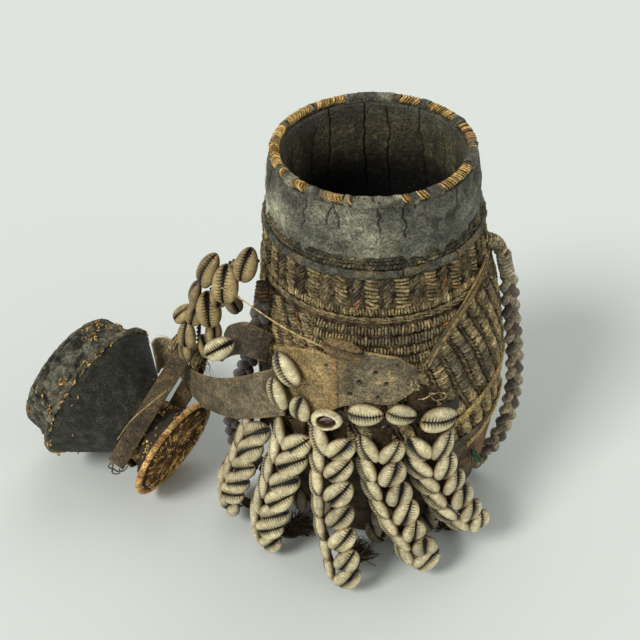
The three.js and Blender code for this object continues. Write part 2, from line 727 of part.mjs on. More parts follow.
const plugRadius = MOUTH_RADIUS - LID_PLUG_CLEARANCE;
const plugTip = plugRadius - LID_PLUG_TAPER;
const plugEnd = LID_SHOULDER_OFFSET + LID_PLUG_LENGTH;
const footTop = -LID_FOOT_OFFSET + LID_FOOT_THICKNESS + GAP;
const flare = (share) => mix(LID_WAIST_RADIUS, LID_SHOULDER_RADIUS - LID_BINDING_RADIUS, share);
add('lid_body', onLid([
  [0, footTop],
  [LID_FOOT_RADIUS - 5, footTop],
  [LID_WAIST_RADIUS + 4, -LID_STRAP_WIDTH / 2 - 6],
  [LID_WAIST_RADIUS, -LID_STRAP_WIDTH / 2 - 1],
  [LID_WAIST_RADIUS, LID_STRAP_WIDTH / 2],
  [flare(0.32), 20],
  [flare(0.72), 37],
  [flare(1), LID_SHOULDER_OFFSET - LID_BINDING_RADIUS - GAP],
  [flare(1) - LID_BINDING_RADIUS - GAP, LID_SHOULDER_OFFSET - LID_BINDING_RADIUS],
  [plugRadius, LID_SHOULDER_OFFSET + LID_BINDING_RADIUS],
  [plugTip, plugEnd - 2 * LID_BINDING_RADIUS],
  [plugTip - LID_WALL, plugEnd - 2 * LID_BINDING_RADIUS],
  [plugRadius - LID_WALL, LID_SHOULDER_OFFSET],
  [flare(0.6) - LID_WALL - 2, 36],
  [LID_WAIST_RADIUS - LID_WALL, 14],
  [0, 8],
]), 'lid_weave');
add('lid_shoulder_binding', lidRing(LID_SHOULDER_RADIUS - LID_BINDING_RADIUS, LID_SHOULDER_OFFSET), 'binding');
add('lid_plug_binding', lidRing(plugTip - LID_BINDING_RADIUS, plugEnd - LID_BINDING_RADIUS + GAP), 'binding');
add('lid_foot_binding', lidRing(footRingRadius, footMiddle), 'binding');
const discRadius = footRingRadius - LID_BINDING_RADIUS - GAP;
add('lid_foot_disc', onLid([
  [0, -LID_FOOT_OFFSET + 1.2],
  [discRadius, -LID_FOOT_OFFSET],
  [discRadius, -LID_FOOT_OFFSET + LID_FOOT_THICKNESS],
  [0, -LID_FOOT_OFFSET + LID_FOOT_THICKNESS],
]), 'coil');

// The lid's strap, in its own plane: x towards the knot, y towards the front, both square to the lid axis
function inLidPlane(points) {
  return points.map(([x, y]) => new THREE.Vector3(x, -y, 0).applyMatrix4(lidFrame));
}

function onCircle(x, y, radius, angles) {
  return angles.map((a) => [x + radius * Math.cos(degrees(a)), y + radius * Math.sin(degrees(a))]);
}
const strapRadius = LID_WAIST_RADIUS + LID_STRAP_CLEARANCE + LID_STRAP_THICKNESS / 2;
const knotBend = KNOT_RADIUS + LID_STRAP_CLEARANCE + LID_STRAP_THICKNESS / 2;
add('lid_strap', strip(
  inLidPlane([
    [-LID_STRAP_TAIL, strapRadius + 1],
    [0, strapRadius + 0.6],
    [25, strapRadius],
    [50, strapRadius - 1.5],
    ...onCircle(KNOT_REACH, KNOT_SIDE, knotBend, [100, 55, 10, -35, -80]),
    [64, -15],
    [42, -26],
    ...onCircle(0, 0, 1.01 * strapRadius, [-80, -105, -130, -155, -180]),
    [-LID_STRAP_TAIL - 1, 13],
  ]),
  () => lidAxis,
  () => LID_STRAP_WIDTH,
  LID_STRAP_THICKNESS,
  44,
), 'leather');
add('strap_wire', rope(
  inLidPlane([
    [-LID_STRAP_TAIL - 1.4, strapRadius + 0.5],
    [-LID_STRAP_TAIL - 7, 25],
    [-LID_STRAP_TAIL - 7, 17],
    [-LID_STRAP_TAIL - 2.6, 13.2],
  ]),
  WIRE_RADIUS, 6, 8,
), 'wire');

// The twine knot is a roll that the lid's strap turns on, with a fat end at either side of it
const knotHalf = LID_STRAP_WIDTH / 2 + LID_STRAP_CLEARANCE;
const knotFrame = lidFrame.clone().multiply(new THREE.Matrix4().makeTranslation(KNOT_REACH, -KNOT_SIDE, 0));
add('twine_knot', turned([
  [0, -knotHalf - 7],
  [KNOT_END_RADIUS - 2, -knotHalf - 6],
  [KNOT_END_RADIUS, -knotHalf - 3],
  [KNOT_END_RADIUS - 1, -knotHalf],
  [KNOT_RADIUS, -knotHalf],
  [KNOT_RADIUS, knotHalf],
  [KNOT_END_RADIUS - 1, knotHalf],
  [KNOT_END_RADIUS, knotHalf + 3],
  [KNOT_END_RADIUS - 2, knotHalf + 6],
  [0, knotHalf + 7],
], 10).applyMatrix4(knotFrame), 'cord');

// Tether strap: wide leather on edge, from the hinge line on the belly to its curled end behind the knot
const strapRoot = TETHER_AXIS_LOW.clone().addScaledVector(tangential(hingeAzimuth), -STRAP_ROOT_GAP);
const strapPoints = [
  strapRoot,
  new THREE.Vector3(-87, -49, 133),
  new THREE.Vector3(-106, -34, 117),
  new THREE.Vector3(-124, -13, 102),
  new THREE.Vector3(-138, 8, 93),
  new THREE.Vector3(-146.5, 22, 93),
  new THREE.Vector3(-153, 37, 92),
  new THREE.Vector3(-160, 45, 92),
  new THREE.Vector3(-167, 43, 93),
  new THREE.Vector3(-169, 36, 94),
];
add('tether_strap', strip(
  strapPoints,
  () => tetherAxis,
  (t) => mix(STRAP_ROOT_WIDTH, STRAP_END_WIDTH, Math.min(1, 1.4 * t)),
  STRAP_THICKNESS,
  30,
), 'leather');

// Tether cord, strung with cowries, from the neck round and down to the knot
const cordPoints = [
  TETHER_AXIS_HIGH.clone(),
  new THREE.Vector3(-86, -23, 230),
  new THREE.Vector3(-98, -15, 222),
  new THREE.Vector3(-108, -8, 205),
  new THREE.Vector3(-118, -1, 183),
  new THREE.Vector3(-127, 7, 156),
  new THREE.Vector3(-130, 11, 136),
  new THREE.Vector3(-131, 12.5, 123),
];
add('tether_cord', rope(cordPoints, TETHER_CORD_RADIUS, 6, 16), 'cord');

// Cowries on the cord: place of the sewn back, direction of the long axis, direction faced, size
const CORD_COWRIES = [
  [[-86.5, -28, 230.5], [0.25, 0, 1], [-0.3, -0.9, 0.4], 1.0],
  [[-101.5, -24.5, 213.5], [0.08, 0, 1], [-0.2, -0.9, 0.3], 1.15],
  [[-112, -4, 207.5], [0.45, 0.1, 1], [-0.75, -0.5, 0.5], 1.1],
  [[-123, -1, 185], [0.25, 0, 1], [-0.95, -0.2, 0.3], 0.95],
  [[-117, -11, 181.5], [0, 0, 1], [0, -0.95, 0.3], 1.1],
  [[-136, 5, 163], [0.9, 0.2, 0.4], [-0.5, -0.5, 0.7], 0.75],
  [[-135, 1, 149], [0.05, 0, 1], [-0.35, -0.9, 0.2], 0.9],
  [[-119, 3, 149.5], [0.15, 0, 1], [0.5, -0.8, 0.2], 0.8],
  [[-137.5, 7, 130.5], [-0.5, 0, 1], [-0.7, -0.6, 0.3], 0.8],
];
CORD_COWRIES.forEach(([place, along, facing, size], i) => {
  const [p, a, n] = [place, along, facing].map((v) => new THREE.Vector3(...v));
  add(`tether_cowrie_${i + 1}`, outward(laid(cowrie(size), p, a, n)), 'shell');
});

// Rope handles, hand-placed from their top lashing to their foot lashing
const toPoints = (list) => list.map((p) => new THREE.Vector3(...p));
const rightRope = toPoints([
  [80.8, -8, 217], [82.5, -7.5, 208], [86, -6.5, 195], [89, -5, 176], [93, -5, 150],
  [97, -5, 120], [98.5, -5, 92], [97, -5, 64], [91, -5, 38], [83, -5, 20],
]);
const leftRope = toPoints([
  [-80, -36, 205], [-82, -37, 192], [-86, -34, 170], [-93, -26, 143],
  [-103, -17, 112], [-109, -12, 82], [-110, -9, 56], [-105, -7, 34], [-94, -5, 16],
]);
add('right_rope', rope(rightRope, ROPE_RADIUS, 8, 18), 'rope');
add('left_rope', rope(leftRope, ROPE_RADIUS, 8, 18), 'rope');
const LASHINGS = {
  right_top_lashing: [[79, -8.5, 218.5], [77.5, -9.5, 226], [77, -11, 232]],
  right_foot_lashing: [[81, -5, 17], [77, -5, 10], [73.5, -5, 6.5]],
  left_top_lashing: [[-79.6, -35.8, 207.5], [-78.6, -35, 213], [-77.4, -33.5, 219]],
  left_foot_lashing: [[-91.5, -4.8, 13.5], [-84, -4.5, 8], [-74.5, -4, 6]],
};
for (const [name, points] of Object.entries(LASHINGS)) {
  add(name, rope(toPoints(points), LASHING_RADIUS, 8, 4), 'cord');
}

export default jug;
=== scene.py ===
"""Looks of the milk jug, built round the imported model.

Lengths in this script are millimetres until a mesh is made. Azimuths are degrees round the jug, 0 at the
front and rising towards +X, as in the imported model. Colours are written as 8-bit values.
"""

import bpy
import numpy as np
from mathutils import Matrix, Vector


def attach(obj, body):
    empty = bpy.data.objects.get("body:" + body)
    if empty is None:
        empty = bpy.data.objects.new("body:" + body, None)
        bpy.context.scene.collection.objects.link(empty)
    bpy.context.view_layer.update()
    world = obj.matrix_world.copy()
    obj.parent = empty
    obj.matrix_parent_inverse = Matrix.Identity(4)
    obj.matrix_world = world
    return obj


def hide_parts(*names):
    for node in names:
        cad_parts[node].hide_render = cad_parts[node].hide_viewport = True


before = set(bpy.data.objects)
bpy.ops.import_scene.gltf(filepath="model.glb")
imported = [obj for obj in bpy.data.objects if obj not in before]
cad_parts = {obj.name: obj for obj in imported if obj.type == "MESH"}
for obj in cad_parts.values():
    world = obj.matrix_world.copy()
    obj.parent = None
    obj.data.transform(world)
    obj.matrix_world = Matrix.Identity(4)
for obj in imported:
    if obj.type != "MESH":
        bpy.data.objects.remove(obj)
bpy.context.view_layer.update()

MM = 0.001
TURN = 2 * np.pi


# Camera: fitted to the rim, the base and the lid of the photographed jug
CAMERA_PLACE = (-42.0, -588.3, 656.8)
CAMERA_PITCH = 40.35
CAMERA_ROLL = 2.18
CAMERA_FOCAL_PIXELS = 1100
IMAGE_SIZE = 640
SENSOR = 36


def make_camera():
    data = bpy.data.cameras.new("camera")
    data.sensor_width = SENSOR
    data.lens = CAMERA_FOCAL_PIXELS * SENSOR / IMAGE_SIZE
    camera = bpy.data.objects.new("camera", data)
    bpy.context.scene.collection.objects.link(camera)
    tilt = Matrix.Rotation(np.radians(90 - CAMERA_PITCH), 4, "X")
    roll = Matrix.Rotation(np.radians(-CAMERA_ROLL), 4, "Z")
    place = Matrix.Translation(Vector(CAMERA_PLACE) * MM)
    camera.matrix_world = place @ tilt @ roll
    bpy.context.scene.camera = camera


# Colours
def srgb(red, green, blue):
    value = np.array([red, green, blue]) / 255
    return np.where(value < 0.04045, value / 12.92, ((value + 0.055) / 1.055) ** 2.4)


CLAY = srgb(97, 96, 84)
CLAY_LIGHT = srgb(186, 181, 152)
CLAY_DARK = srgb(44, 43, 40)
PAINTED_SHADE = srgb(20, 18, 15)
TAN = srgb(192, 170, 122)
# Painted shade: near black, for cracks, holes, hollows and the deep inside of the jug and lid
TWINE_GREEN = srgb(116, 108, 80)
BROWN = srgb(134, 116, 82)
DARK_BROWN = srgb(70, 58, 40)
RUST = srgb(176, 118, 64)
GOLD = srgb(232, 192, 116)
GOLD_DARK = srgb(166, 126, 68)
IVORY = srgb(236, 225, 182)
IVORY_GREY = srgb(192, 182, 150)
OCHRE = srgb(202, 178, 124)
SHELL_EDGE = srgb(138, 108, 64)
# Painted contact shadow at a cowrie's foot
SHELL_CONTACT_SHADE = srgb(62, 46, 26)
# Painted shade for the grooves between a cowrie's teeth and for its slit
TOOTH_GROOVE_SHADE = srgb(58, 42, 22)
SLIT_SHADE = srgb(18, 12, 8)
LEATHER = srgb(122, 110, 86)
LEATHER_DARK = srgb(66, 57, 46)
LEATHER_TAN = srgb(190, 160, 104)
HIDE = srgb(96, 76, 50)
WOOL = srgb(178, 162, 128)
WOOL_DARK = srgb(66, 54, 42)
STRAW = srgb(206, 178, 116)
GREEN = srgb(24, 112, 80)
WIRE = srgb(126, 116, 98)


# Numbers and noise
def mix(a, b, t):
    return a + (b - a) * t


def turns(count):
    """Even steps of one full turn, in radians."""
    return np.arange(count) * TURN / count


def smooth(x, low, high):
    t = np.clip((x - low) / (high - low), 0, 1)
    return t * t * (3 - 2 * t)


def blend_colour(a, b, t):
    return mix(np.asarray(a), np.asarray(b), np.asarray(t)[..., None])


def unit(v):
    return v / np.maximum(np.linalg.norm(v, axis=-1, keepdims=True), 1e-12)


def lattice(x, y, z, seed):
    """A repeatable number from -1 to 1 for each corner of a whole-number lattice."""
    x, y, z = ((value & 0xFFFFFFFF).astype(np.uint32) for value in (x, y, z))
    mixed = x * np.uint32(73856093) ^ y * np.uint32(19349663) ^ z * np.uint32(83492791)
    mixed ^= np.uint32((seed * 2654435761) & 0xFFFFFFFF)
    mixed ^= mixed >> np.uint32(13)
    mixed *= np.uint32(1540483477)
    mixed ^= mixed >> np.uint32(15)
    return mixed / 2.0**31 - 1


def noise(points, size, seed=0):
    """Smooth value noise from -1 to 1, whose blobs are about size wide."""
    at = np.asarray(points) / size
    cell = np.floor(at).astype(np.int64)
    t = at - cell
    t = t * t * (3 - 2 * t)
    x, y, z = cell[..., 0], cell[..., 1], cell[..., 2]
    rows = []
    for dy in (0, 1):
        for dz in (0, 1):
            low = lattice(x, y + dy, z + dz, seed)
            high = lattice(x + 1, y + dy, z + dz, seed)
            rows.append(mix(low, high, t[..., 0]))
    front = mix(rows[0], rows[1], t[..., 2])
    back = mix(rows[2], rows[3], t[..., 2])
    return mix(front, back, t[..., 1])


def rough_noise(points, size, seed=0):
    """Three layers of noise, each half as large and half as strong as the one before."""
    total = 0
    for k in range(3):
        total = total + noise(points, size / 2**k, seed + 17 * k) / 2**k
    return total / 1.75


def noise_along(values, size, seed):
    """Noise along one line, for places given in millimetres."""
    return noise(np.stack([0 * values, 0 * values, values], axis=-1), size, seed)


# Curves
def centripetal(points, fine=24):
    """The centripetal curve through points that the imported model's pieces follow."""
    p = np.asarray(points, float)
    ends = [2 * p[0] - p[1], *p, 2 * p[-1] - p[-2]]
    pieces = []
    for a, b, c, d in zip(ends, ends[1:], ends[2:], ends[3:]):
        ta, tb, tc = (np.linalg.norm(q - r) ** 0.5 for q, r in ((b, a), (c, b), (d, c)))
        start = ((b - a) / ta - (c - a) / (ta + tb) + (c - b) / tb) * tb
        stop = ((c - b) / tb - (d - b) / (tb + tc) + (d - c) / tc) * tb
        t = np.linspace(0, 1, fine, endpoint=False)[:, None]
        cubic = (2 * b - 2 * c + start + stop) * t**3
        pieces.append(b + start * t + (3 * c - 3 * b - 2 * start - stop) * t**2 + cubic)
    return np.vstack([*pieces, p[-1:]])


def lengths(line):
    steps = np.linalg.norm(np.diff(line, axis=0), axis=1)
    return np.concatenate([[0], np.cumsum(steps)])


def at_share(line, share):
    """Points at shares of a line's length."""
    along = lengths(line)
    return np.stack([np.interp(np.asarray(share) * along[-1], along, line[:, k]) for k in range(3)], axis=-1)


def evenly(points, count):
    """Points at even distances on the curve through the given ones."""
    return at_share(centripetal(points), np.linspace(0, 1, count))


def frames(line, closed=False):
    """Directions along and across a line, turning as little as they can."""
    if closed:
        along = unit(np.roll(line, -1, axis=0) - np.roll(line, 1, axis=0))
    else:
        along = unit(np.gradient(line, axis=0))
    side = np.zeros_like(line)
    seed = np.array([0.0, 0.0, 1.0]) if abs(along[0][2]) < 0.9 else np.array([1.0, 0.0, 0.0])
    previous = np.cross(along[0], seed)
    for i, direction in enumerate(along):
        previous = previous - direction * previous.dot(direction)
        previous = previous / np.linalg.norm(previous)
        side[i] = previous
    return along, side, np.cross(along, side)


def coiled(line, side, up, turn, reach):
    """A path that turns round a line, at a distance from it."""
    return line + (np.cos(turn)[:, None] * side + np.sin(turn)[:, None] * up) * reach


# Meshes
def side_faces(index, closed=False):
    """Faces of four corners between neighbouring rings of point numbers."""
    low = index if closed else index[:-1]
    high = np.roll(index, -1, axis=0) if closed else index[1:]
    corners = [low, np.roll(low, -1, axis=1), np.roll(high, -1, axis=1), high]
    return np.stack(corners, axis=-1).reshape(-1, 4)


def end_faces(index):
    """Faces of three corners that close the first and last ring. Their middles are the next two points."""
    first, last = index[0], index[-1]
    middle = np.full(len(first), index.size)
    return [
        np.stack([np.roll(first, -1), first, middle], axis=-1),
        np.stack([last, np.roll(last, -1), middle + 1], axis=-1),
    ]


class Skin:
    """Points, faces and colours gathered for one piece."""

    def __init__(self):
        self.points = []
        self.tints = []
        self.faces = {3: [], 4: []}
        self.count = 0

    def add(self, points, faces, tint):
        points = np.asarray(points).reshape(-1, 3)
        tint = np.broadcast_to(np.asarray(tint), (*np.shape(tint)[:-1], 3))
        if tint.ndim > 1:
            tint = tint.reshape(-1, 3)
        self.points.append(points)
        self.tints.append(np.broadcast_to(tint, points.shape))
        for corners in faces:
            if len(corners):
                self.faces[corners.shape[1]].append(corners + self.count)
        self.count += len(points)

    def rings(self, rings, tint, closed=False):
        """Closed sections of equal point counts, joined in order. closed joins the last to the first."""
        rows, sides = rings.shape[:2]
        index = np.arange(rows * sides).reshape(rows, sides)
        points = rings.reshape(-1, 3)
        tint = np.broadcast_to(np.asarray(tint), rings.shape).reshape(-1, 3)
        faces = [side_faces(index, closed)]
        if not closed:
            points = np.vstack([points, rings[0].mean(0), rings[-1].mean(0)])
            tint = np.vstack([tint, tint[index[0]].mean(0), tint[index[-1]].mean(0)])
            faces += end_faces(index)
        self.add(points, faces, tint)

    def copies(self, rings, tints):
        """Many alike closed pieces at once: rings is (pieces, sections, sides, 3), tints (pieces, 3)."""
        pieces, rows, sides = rings.shape[:3]
        index = np.arange(rows * sides).reshape(rows, sides)
        ends = np.vstack(end_faces(index))
        middles = np.stack([rings[:, 0].mean(1), rings[:, -1].mean(1)], axis=1)
        points = np.concatenate([rings.reshape(pieces, -1, 3), middles], axis=1)
        start = (np.arange(pieces) * points.shape[1])[:, None, None]
        tint = np.broadcast_to(tints[:, None], points.shape)
        faces = [(side_faces(index) + start).reshape(-1, 4), (ends + start).reshape(-1, 3)]
        self.add(points, faces, tint)

    def tube(self, line, radius, tint, sides=6, closed=False):
        """A round tube along a line. radius is one number, or one for each point of the line."""
        line = np.asarray(line, float)
        _, side, up = frames(line, closed)
        turn = turns(sides)
        radius = np.broadcast_to(np.asarray(radius, float), len(line))[:, None, None]
        across = np.cos(turn)[None, :, None] * side[:, None]
        rise = np.sin(turn)[None, :, None] * up[:, None]
        tint = np.asarray(tint)
        if tint.ndim == 2:
            tint = tint[:, None]
        self.rings(line[:, None] + radius * (across + rise), tint, closed)

    def slab(self, over, under, tint):
        """A closed slab between two grids of points, with rounded edges."""
        over, under = over.copy(), under.copy()
        middle = (over + under) / 2
        for edge in (np.s_[0], np.s_[-1], np.s_[:, 0], np.s_[:, -1]):
            over[edge] = mix(middle[edge], over[edge], 0.45)
            under[edge] = mix(middle[edge], under[edge], 0.45)
        rings = np.concatenate([over, under[:, ::-1]], axis=1)
        tint = np.broadcast_to(np.asarray(tint), over.shape)
        # The under face takes the over face's colours, painted 20% darker as shade
        self.rings(rings, np.concatenate([tint, tint[:, ::-1] * 0.8], axis=1))


def piece(name, skin, material, body, replaces=()):
    """Makes a mesh of a skin, in metres, and says what it rides on, stands for and is made of."""
    mesh = bpy.data.meshes.new(name)
    points = np.vstack(skin.points) * MM
    tints = np.vstack(skin.tints)
    faces = [np.vstack(found) for found in skin.faces.values() if found]
    corners = np.concatenate([found.ravel() for found in faces])
    sizes = np.concatenate([np.full(len(found), found.shape[1]) for found in faces])
    starts = np.concatenate([[0], np.cumsum(sizes)[:-1]])
    mesh.vertices.add(len(points))
    mesh.vertices.foreach_set("co", points.astype(np.float32).ravel())
    mesh.loops.add(len(corners))
    mesh.loops.foreach_set("vertex_index", corners.astype(np.int32))
    mesh.polygons.add(len(sizes))
    mesh.polygons.foreach_set("loop_start", starts.astype(np.int32))
    mesh.update(calc_edges=True)
    mesh.validate()
    mesh.shade_smooth()
    colours = np.hstack([np.clip(tints, 0, 1), np.ones((len(tints), 1))])
    layer = mesh.color_attributes.new("tint", "FLOAT_COLOR", "POINT")
    layer.data.foreach_set("color", colours.astype(np.float32).ravel())
    mesh.materials.append(material)
    made = bpy.data.objects.new(name, mesh)
    bpy.context.scene.collection.objects.link(made)
    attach(made, body)
    if replaces:
        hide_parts(*replaces)
    return made


# Materials: the colour layer of the mesh carries what was worked out there, and nodes add the grain
def new_node(tree, kind, **inputs):
    node = tree.nodes.new(kind)
    for name, value in inputs.items():
        socket = node.inputs[name.replace("_", " ")]
        if isinstance(value, bpy.types.NodeSocket):
            tree.links.new(value, socket)
        else:
            socket.default_value = value
    return node


def ramp(tree, source, stops):
    node = new_node(tree, "ShaderNodeValToRGB", Fac=source)
    while len(node.color_ramp.elements) < len(stops):
        node.color_ramp.elements.new(0.5)
    for element, (place, value) in zip(node.color_ramp.elements, stops):
        element.position = place
        element.color = (*np.broadcast_to(value, 3), 1)
    return node.outputs["Color"]


def mixed(tree, kind, share, a, b):
    node = tree.nodes.new("ShaderNodeMix")
    node.data_type = "RGBA"
    node.blend_type = kind
    for socket, value in ((node.inputs[0], share), (node.inputs[6], a), (node.inputs[7], b)):
        if isinstance(value, bpy.types.NodeSocket):
            tree.links.new(value, socket)
        elif isinstance(value, float):
            socket.default_value = value
        else:
            socket.default_value = (*value, 1)
    return node.outputs[2]


def noise_node(tree, place, size, detail, roughness=0.6):
    scale = 1 / (size * MM)
    node = new_node(tree, "ShaderNodeTexNoise", Vector=place, Scale=scale, Detail=detail, Roughness=roughness)
    return node.outputs["Fac"]


def material(
    name,
    patch=12.0,
    patch_range=(0.72, 1.25),
    grain=1.2,
    grain_range=(0.75, 1.2),
    speck=None,
    roughness=(0.8, 0.95),
    bump=(0.5, 0.35),
    cells=None,
    coat=0.0,
    sheen=0.0,
    metallic=0.0,
):
    """patch and grain are the sizes of the coarse and fine mottle, speck is (size, share, colour), bump is
    (size, height) and cells is (size, depth) of a net of creases, all in millimetres."""
    made = bpy.data.materials.new(name)
    made.use_nodes = True
    tree = made.node_tree
    tree.nodes.clear()
    place = tree.nodes.new("ShaderNodeTexCoord").outputs["Object"]
    layer = tree.nodes.new("ShaderNodeAttribute")
    layer.attribute_name = "tint"
    coarse = noise_node(tree, place, patch, 3.0)
    fine = noise_node(tree, place, grain, 5.0, 0.65)
    low, high = patch_range
    patches = ramp(tree, coarse, [(0.36, low), (0.64, high)])
    colour = mixed(tree, "MULTIPLY", 1.0, layer.outputs["Color"], patches)
    low, high = grain_range
    colour = mixed(tree, "MULTIPLY", 1.0, colour, ramp(tree, fine, [(0.38, low), (0.62, high)]))
    if speck:
        size, share, tone = speck
        spots = noise_node(tree, place, size, 6.0, 0.7)
        cover = ramp(tree, spots, [(1 - share, 0.0), (1 - share + 0.06, 0.8)])
        colour = mixed(tree, "MIX", cover, colour, tone)
    shader = tree.nodes.new("ShaderNodeBsdfPrincipled")
    tree.links.new(colour, shader.inputs["Base Color"])
    shine = ramp(tree, fine, [(0.3, roughness[0]), (0.7, roughness[1])])
    tree.links.new(shine, shader.inputs["Roughness"])
    shader.inputs["Metallic"].default_value = metallic
    shader.inputs["Specular IOR Level"].default_value = 0.35
    if coat:
        shader.inputs["Coat Weight"].default_value = coat
        shader.inputs["Coat Roughness"].default_value = 0.3
    if sheen:
        shader.inputs["Sheen Weight"].default_value = sheen
        shader.inputs["Sheen Roughness"].default_value = 0.6
    relief = noise_node(tree, place, bump[0], 6.0, 0.65)
    height = new_node(tree, "ShaderNodeBump", Height=relief, Distance=bump[1] * MM)
    height.inputs["Strength"].default_value = 0.9
    if cells:
        net = new_node(tree, "ShaderNodeTexVoronoi", Vector=place, Scale=1 / (cells[0] * MM))
        net.feature = "DISTANCE_TO_EDGE"
        crease = ramp(tree, net.outputs["Distance"], [(0.0, 0.0), (0.12, 1.0)])
        height = new_node(
            tree, "ShaderNodeBump", Height=crease, Distance=cells[1] * MM, Normal=height.outputs["Normal"]
        )
    tree.links.new(height.outputs["Normal"], shader.inputs["Normal"])
    output = tree.nodes.new("ShaderNodeOutputMaterial")
    tree.links.new(shader.outputs["BSDF"], output.inputs["Surface"])
    return made


CLAY_MATERIAL = material(
    "clay", patch=9, patch_range=(0.8, 1.2), grain=1.3, grain_range=(0.42, 1.65),
    speck=(2.2, 0.36, srgb(176, 170, 140)), bump=(2.6, 2.4), roughness=(0.7, 0.95),
)
FIBRE_MATERIAL = material(
    "plant_fibre", patch=7, patch_range=(0.6, 1.4), grain=1.5, grain_range=(0.34, 1.75), bump=(1.3, 1.6)
)
GOLD_MATERIAL = material(
    "golden_fibre", patch=4, patch_range=(0.6, 1.3), grain=1.2, grain_range=(0.5, 1.45), bump=(0.8, 0.8),
    roughness=(0.6, 0.8),
)
HIDE_MATERIAL = material(
    "hide", patch=9, patch_range=(0.5, 1.5), grain=1.8, grain_range=(0.5, 1.5), cells=(2.2, 0.2),
    roughness=(0.6, 0.85), bump=(2.0, 1.4),
)
LEATHER_MATERIAL = material(
    "leather", patch=9, patch_range=(0.68, 1.3), grain=1.3, grain_range=(0.45, 1.6), cells=(1.5, 0.22),
    speck=(3.0, 0.38, srgb(184, 164, 120)), roughness=(0.42, 0.7), bump=(2.4, 1.5),
)
SHELL_MATERIAL = material(
    "cowrie", patch=5, patch_range=(0.72, 1.14), grain=1.6, grain_range=(0.72, 1.14), roughness=(0.3, 0.55),
    bump=(1.6, 0.3), coat=0.2,
)
WOOL_MATERIAL = material(
    "wool_rope", patch=6, patch_range=(0.6, 1.3), grain=1.5, grain_range=(0.45, 1.45), bump=(1.2, 1.6),
    roughness=(0.85, 1.0), sheen=0.4,
)
WIRE_MATERIAL = material("wire", patch=4, grain=0.7, roughness=(0.35, 0.6), bump=(0.4, 0.1), metallic=0.8)

# The jug's outline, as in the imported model
RIM_HEIGHT = 300
MOUTH_RADIUS = 58
RIM_WALL = 7
JACKET_TOP = 261
NECK_RADIUS = 68.6
BINDING_BOTTOM = 294
JACKET_BOTTOM = 6.3
BOOT_TOP = 106
GAP = 0.3
OUTLINE = [(0, 62), (22, 71), (60, 79.5), (125, 86), (181.4, 81), (219, 74.6), (261, 67.8)]


def body_radius(height):
    """The jug's radius at a height, on the smooth curve through the points of its outline."""
    keys = np.array(OUTLINE, float)
    z = np.clip(height, keys[0, 0], keys[-1, 0])
    places = np.arange(len(keys))
    step = keys[np.minimum(places + 1, len(keys) - 1)] - keys[np.maximum(places - 1, 0)]
    slopes = step[:, 1] / step[:, 0]
    i = np.clip(np.searchsorted(keys[:, 0], z, side="left") - 1, 0, len(keys) - 2)
    span = keys[i + 1, 0] - keys[i, 0]
    t = (z - keys[i, 0]) / span
    bend = (1 - t) ** 2 * t * slopes[i] - t * t * (1 - t) * slopes[i + 1]
    return mix(keys[i, 1], keys[i + 1, 1], t * t * (3 - 2 * t)) + bend * span


def body_centre(height):
    return -5 * smooth(height, 150, 270)


def radial(azimuth):
    angle = np.radians(azimuth)
    return np.stack([np.sin(angle), -np.cos(angle), np.zeros_like(angle)], axis=-1)


def tangential(azimuth):
    angle = np.radians(azimuth)
    return np.stack([np.cos(angle), np.sin(angle), np.zeros_like(angle)], axis=-1)


def turned(azimuth, turn):
    """The direction along the jug's face that rises by so many degrees from level."""
    angle = np.radians(turn)
    return tangential(azimuth) * np.cos(angle) + [0, 0, np.sin(angle)]


def on_circle(azimuth, height, radius):
    azimuth, height, radius = np.broadcast_arrays(*(np.asarray(v, float) for v in (azimuth, height, radius)))
    point = radial(azimuth) * radius[..., None]
    point[..., 0] += body_centre(height)
    point[..., 2] = height
    return point


def on_body(azimuth, height, out):
    return on_circle(azimuth, height, body_radius(np.asarray(height, float)) + out)


def around(columns):
    return np.arange(columns) * 360 / columns


def crack_depth(azimuth, height, cracks, radius, width):
    """How deep each point lies in a crack, from 0 to 1. A crack is a list of (azimuth, height) corners."""
    depth = np.zeros(np.broadcast(azimuth, height).shape)
    across_mm = np.radians(1) * radius
    for crack in cracks:
        for (a0, z0), (a1, z1) in zip(crack, crack[1:]):
            da, dz = (a1 - a0) * across_mm, z1 - z0
            pa = ((azimuth - a0 + 180) % 360 - 180) * across_mm
            pz = height - z0
            t = np.clip((pa * da + pz * dz) / (da * da + dz * dz), 0, 1)
            far = np.hypot(pa - t * da, pz - t * dz)
            depth = np.maximum(depth, np.exp(-((far / width) ** 2)))
    return depth


# Vessel: charcoal collar outside, wood inside, painted with shade that deepens towards the bottom
COLLAR_CRACKS = [
    [(-41, 297), (-40, 293), (-41, 282), (-42, 272)],
    [(-25, 297), (-26, 292), (-28, 281)],
    [(-25, 296), (-22, 288.5), (-21, 280)],
    [(-4, 297), (-1, 292), (0, 279.5)],
    [(12, 297), (12, 290), (13, 275)],
    [(19, 297), (19.5, 292)],
    [(43, 297), (46, 292), (44, 281)],
    [(72, 297), (75, 284), (73, 272)],
    [(110, 297), (113, 283), (109, 270)],
    [(160, 297), (158, 282), (162, 266)],
    [(-75, 297), (-77, 283), (-74, 272)],
    [(-118, 297), (-115, 280)],
    [(-160, 297), (-163, 276), (-158, 264)],
]
INSIDE_CRACKS = [
    [(-153, 296), (-154, 287), (-154, 278), (-152, 250), (-153, 215)],
    [(-143, 283.5), (-138, 269), (-138, 245)],
    [(-119, 290), (-117, 272), (-118, 240)],
    [(-178, 296), (-178, 260), (-179, 225)],
    [(168, 291), (167, 283), (165, 274), (167, 247), (166, 215)],
    [(145, 294), (145, 278), (141, 266), (140, 248), (141, 215)],
    [(125, 280), (121, 270), (122, 250)],
    [(109, 294), (107, 277), (109, 255)],
    [(60, 288), (62, 250)],
    [(-60, 288), (-58, 240)],
    [(0, 285), (2, 240)],
]


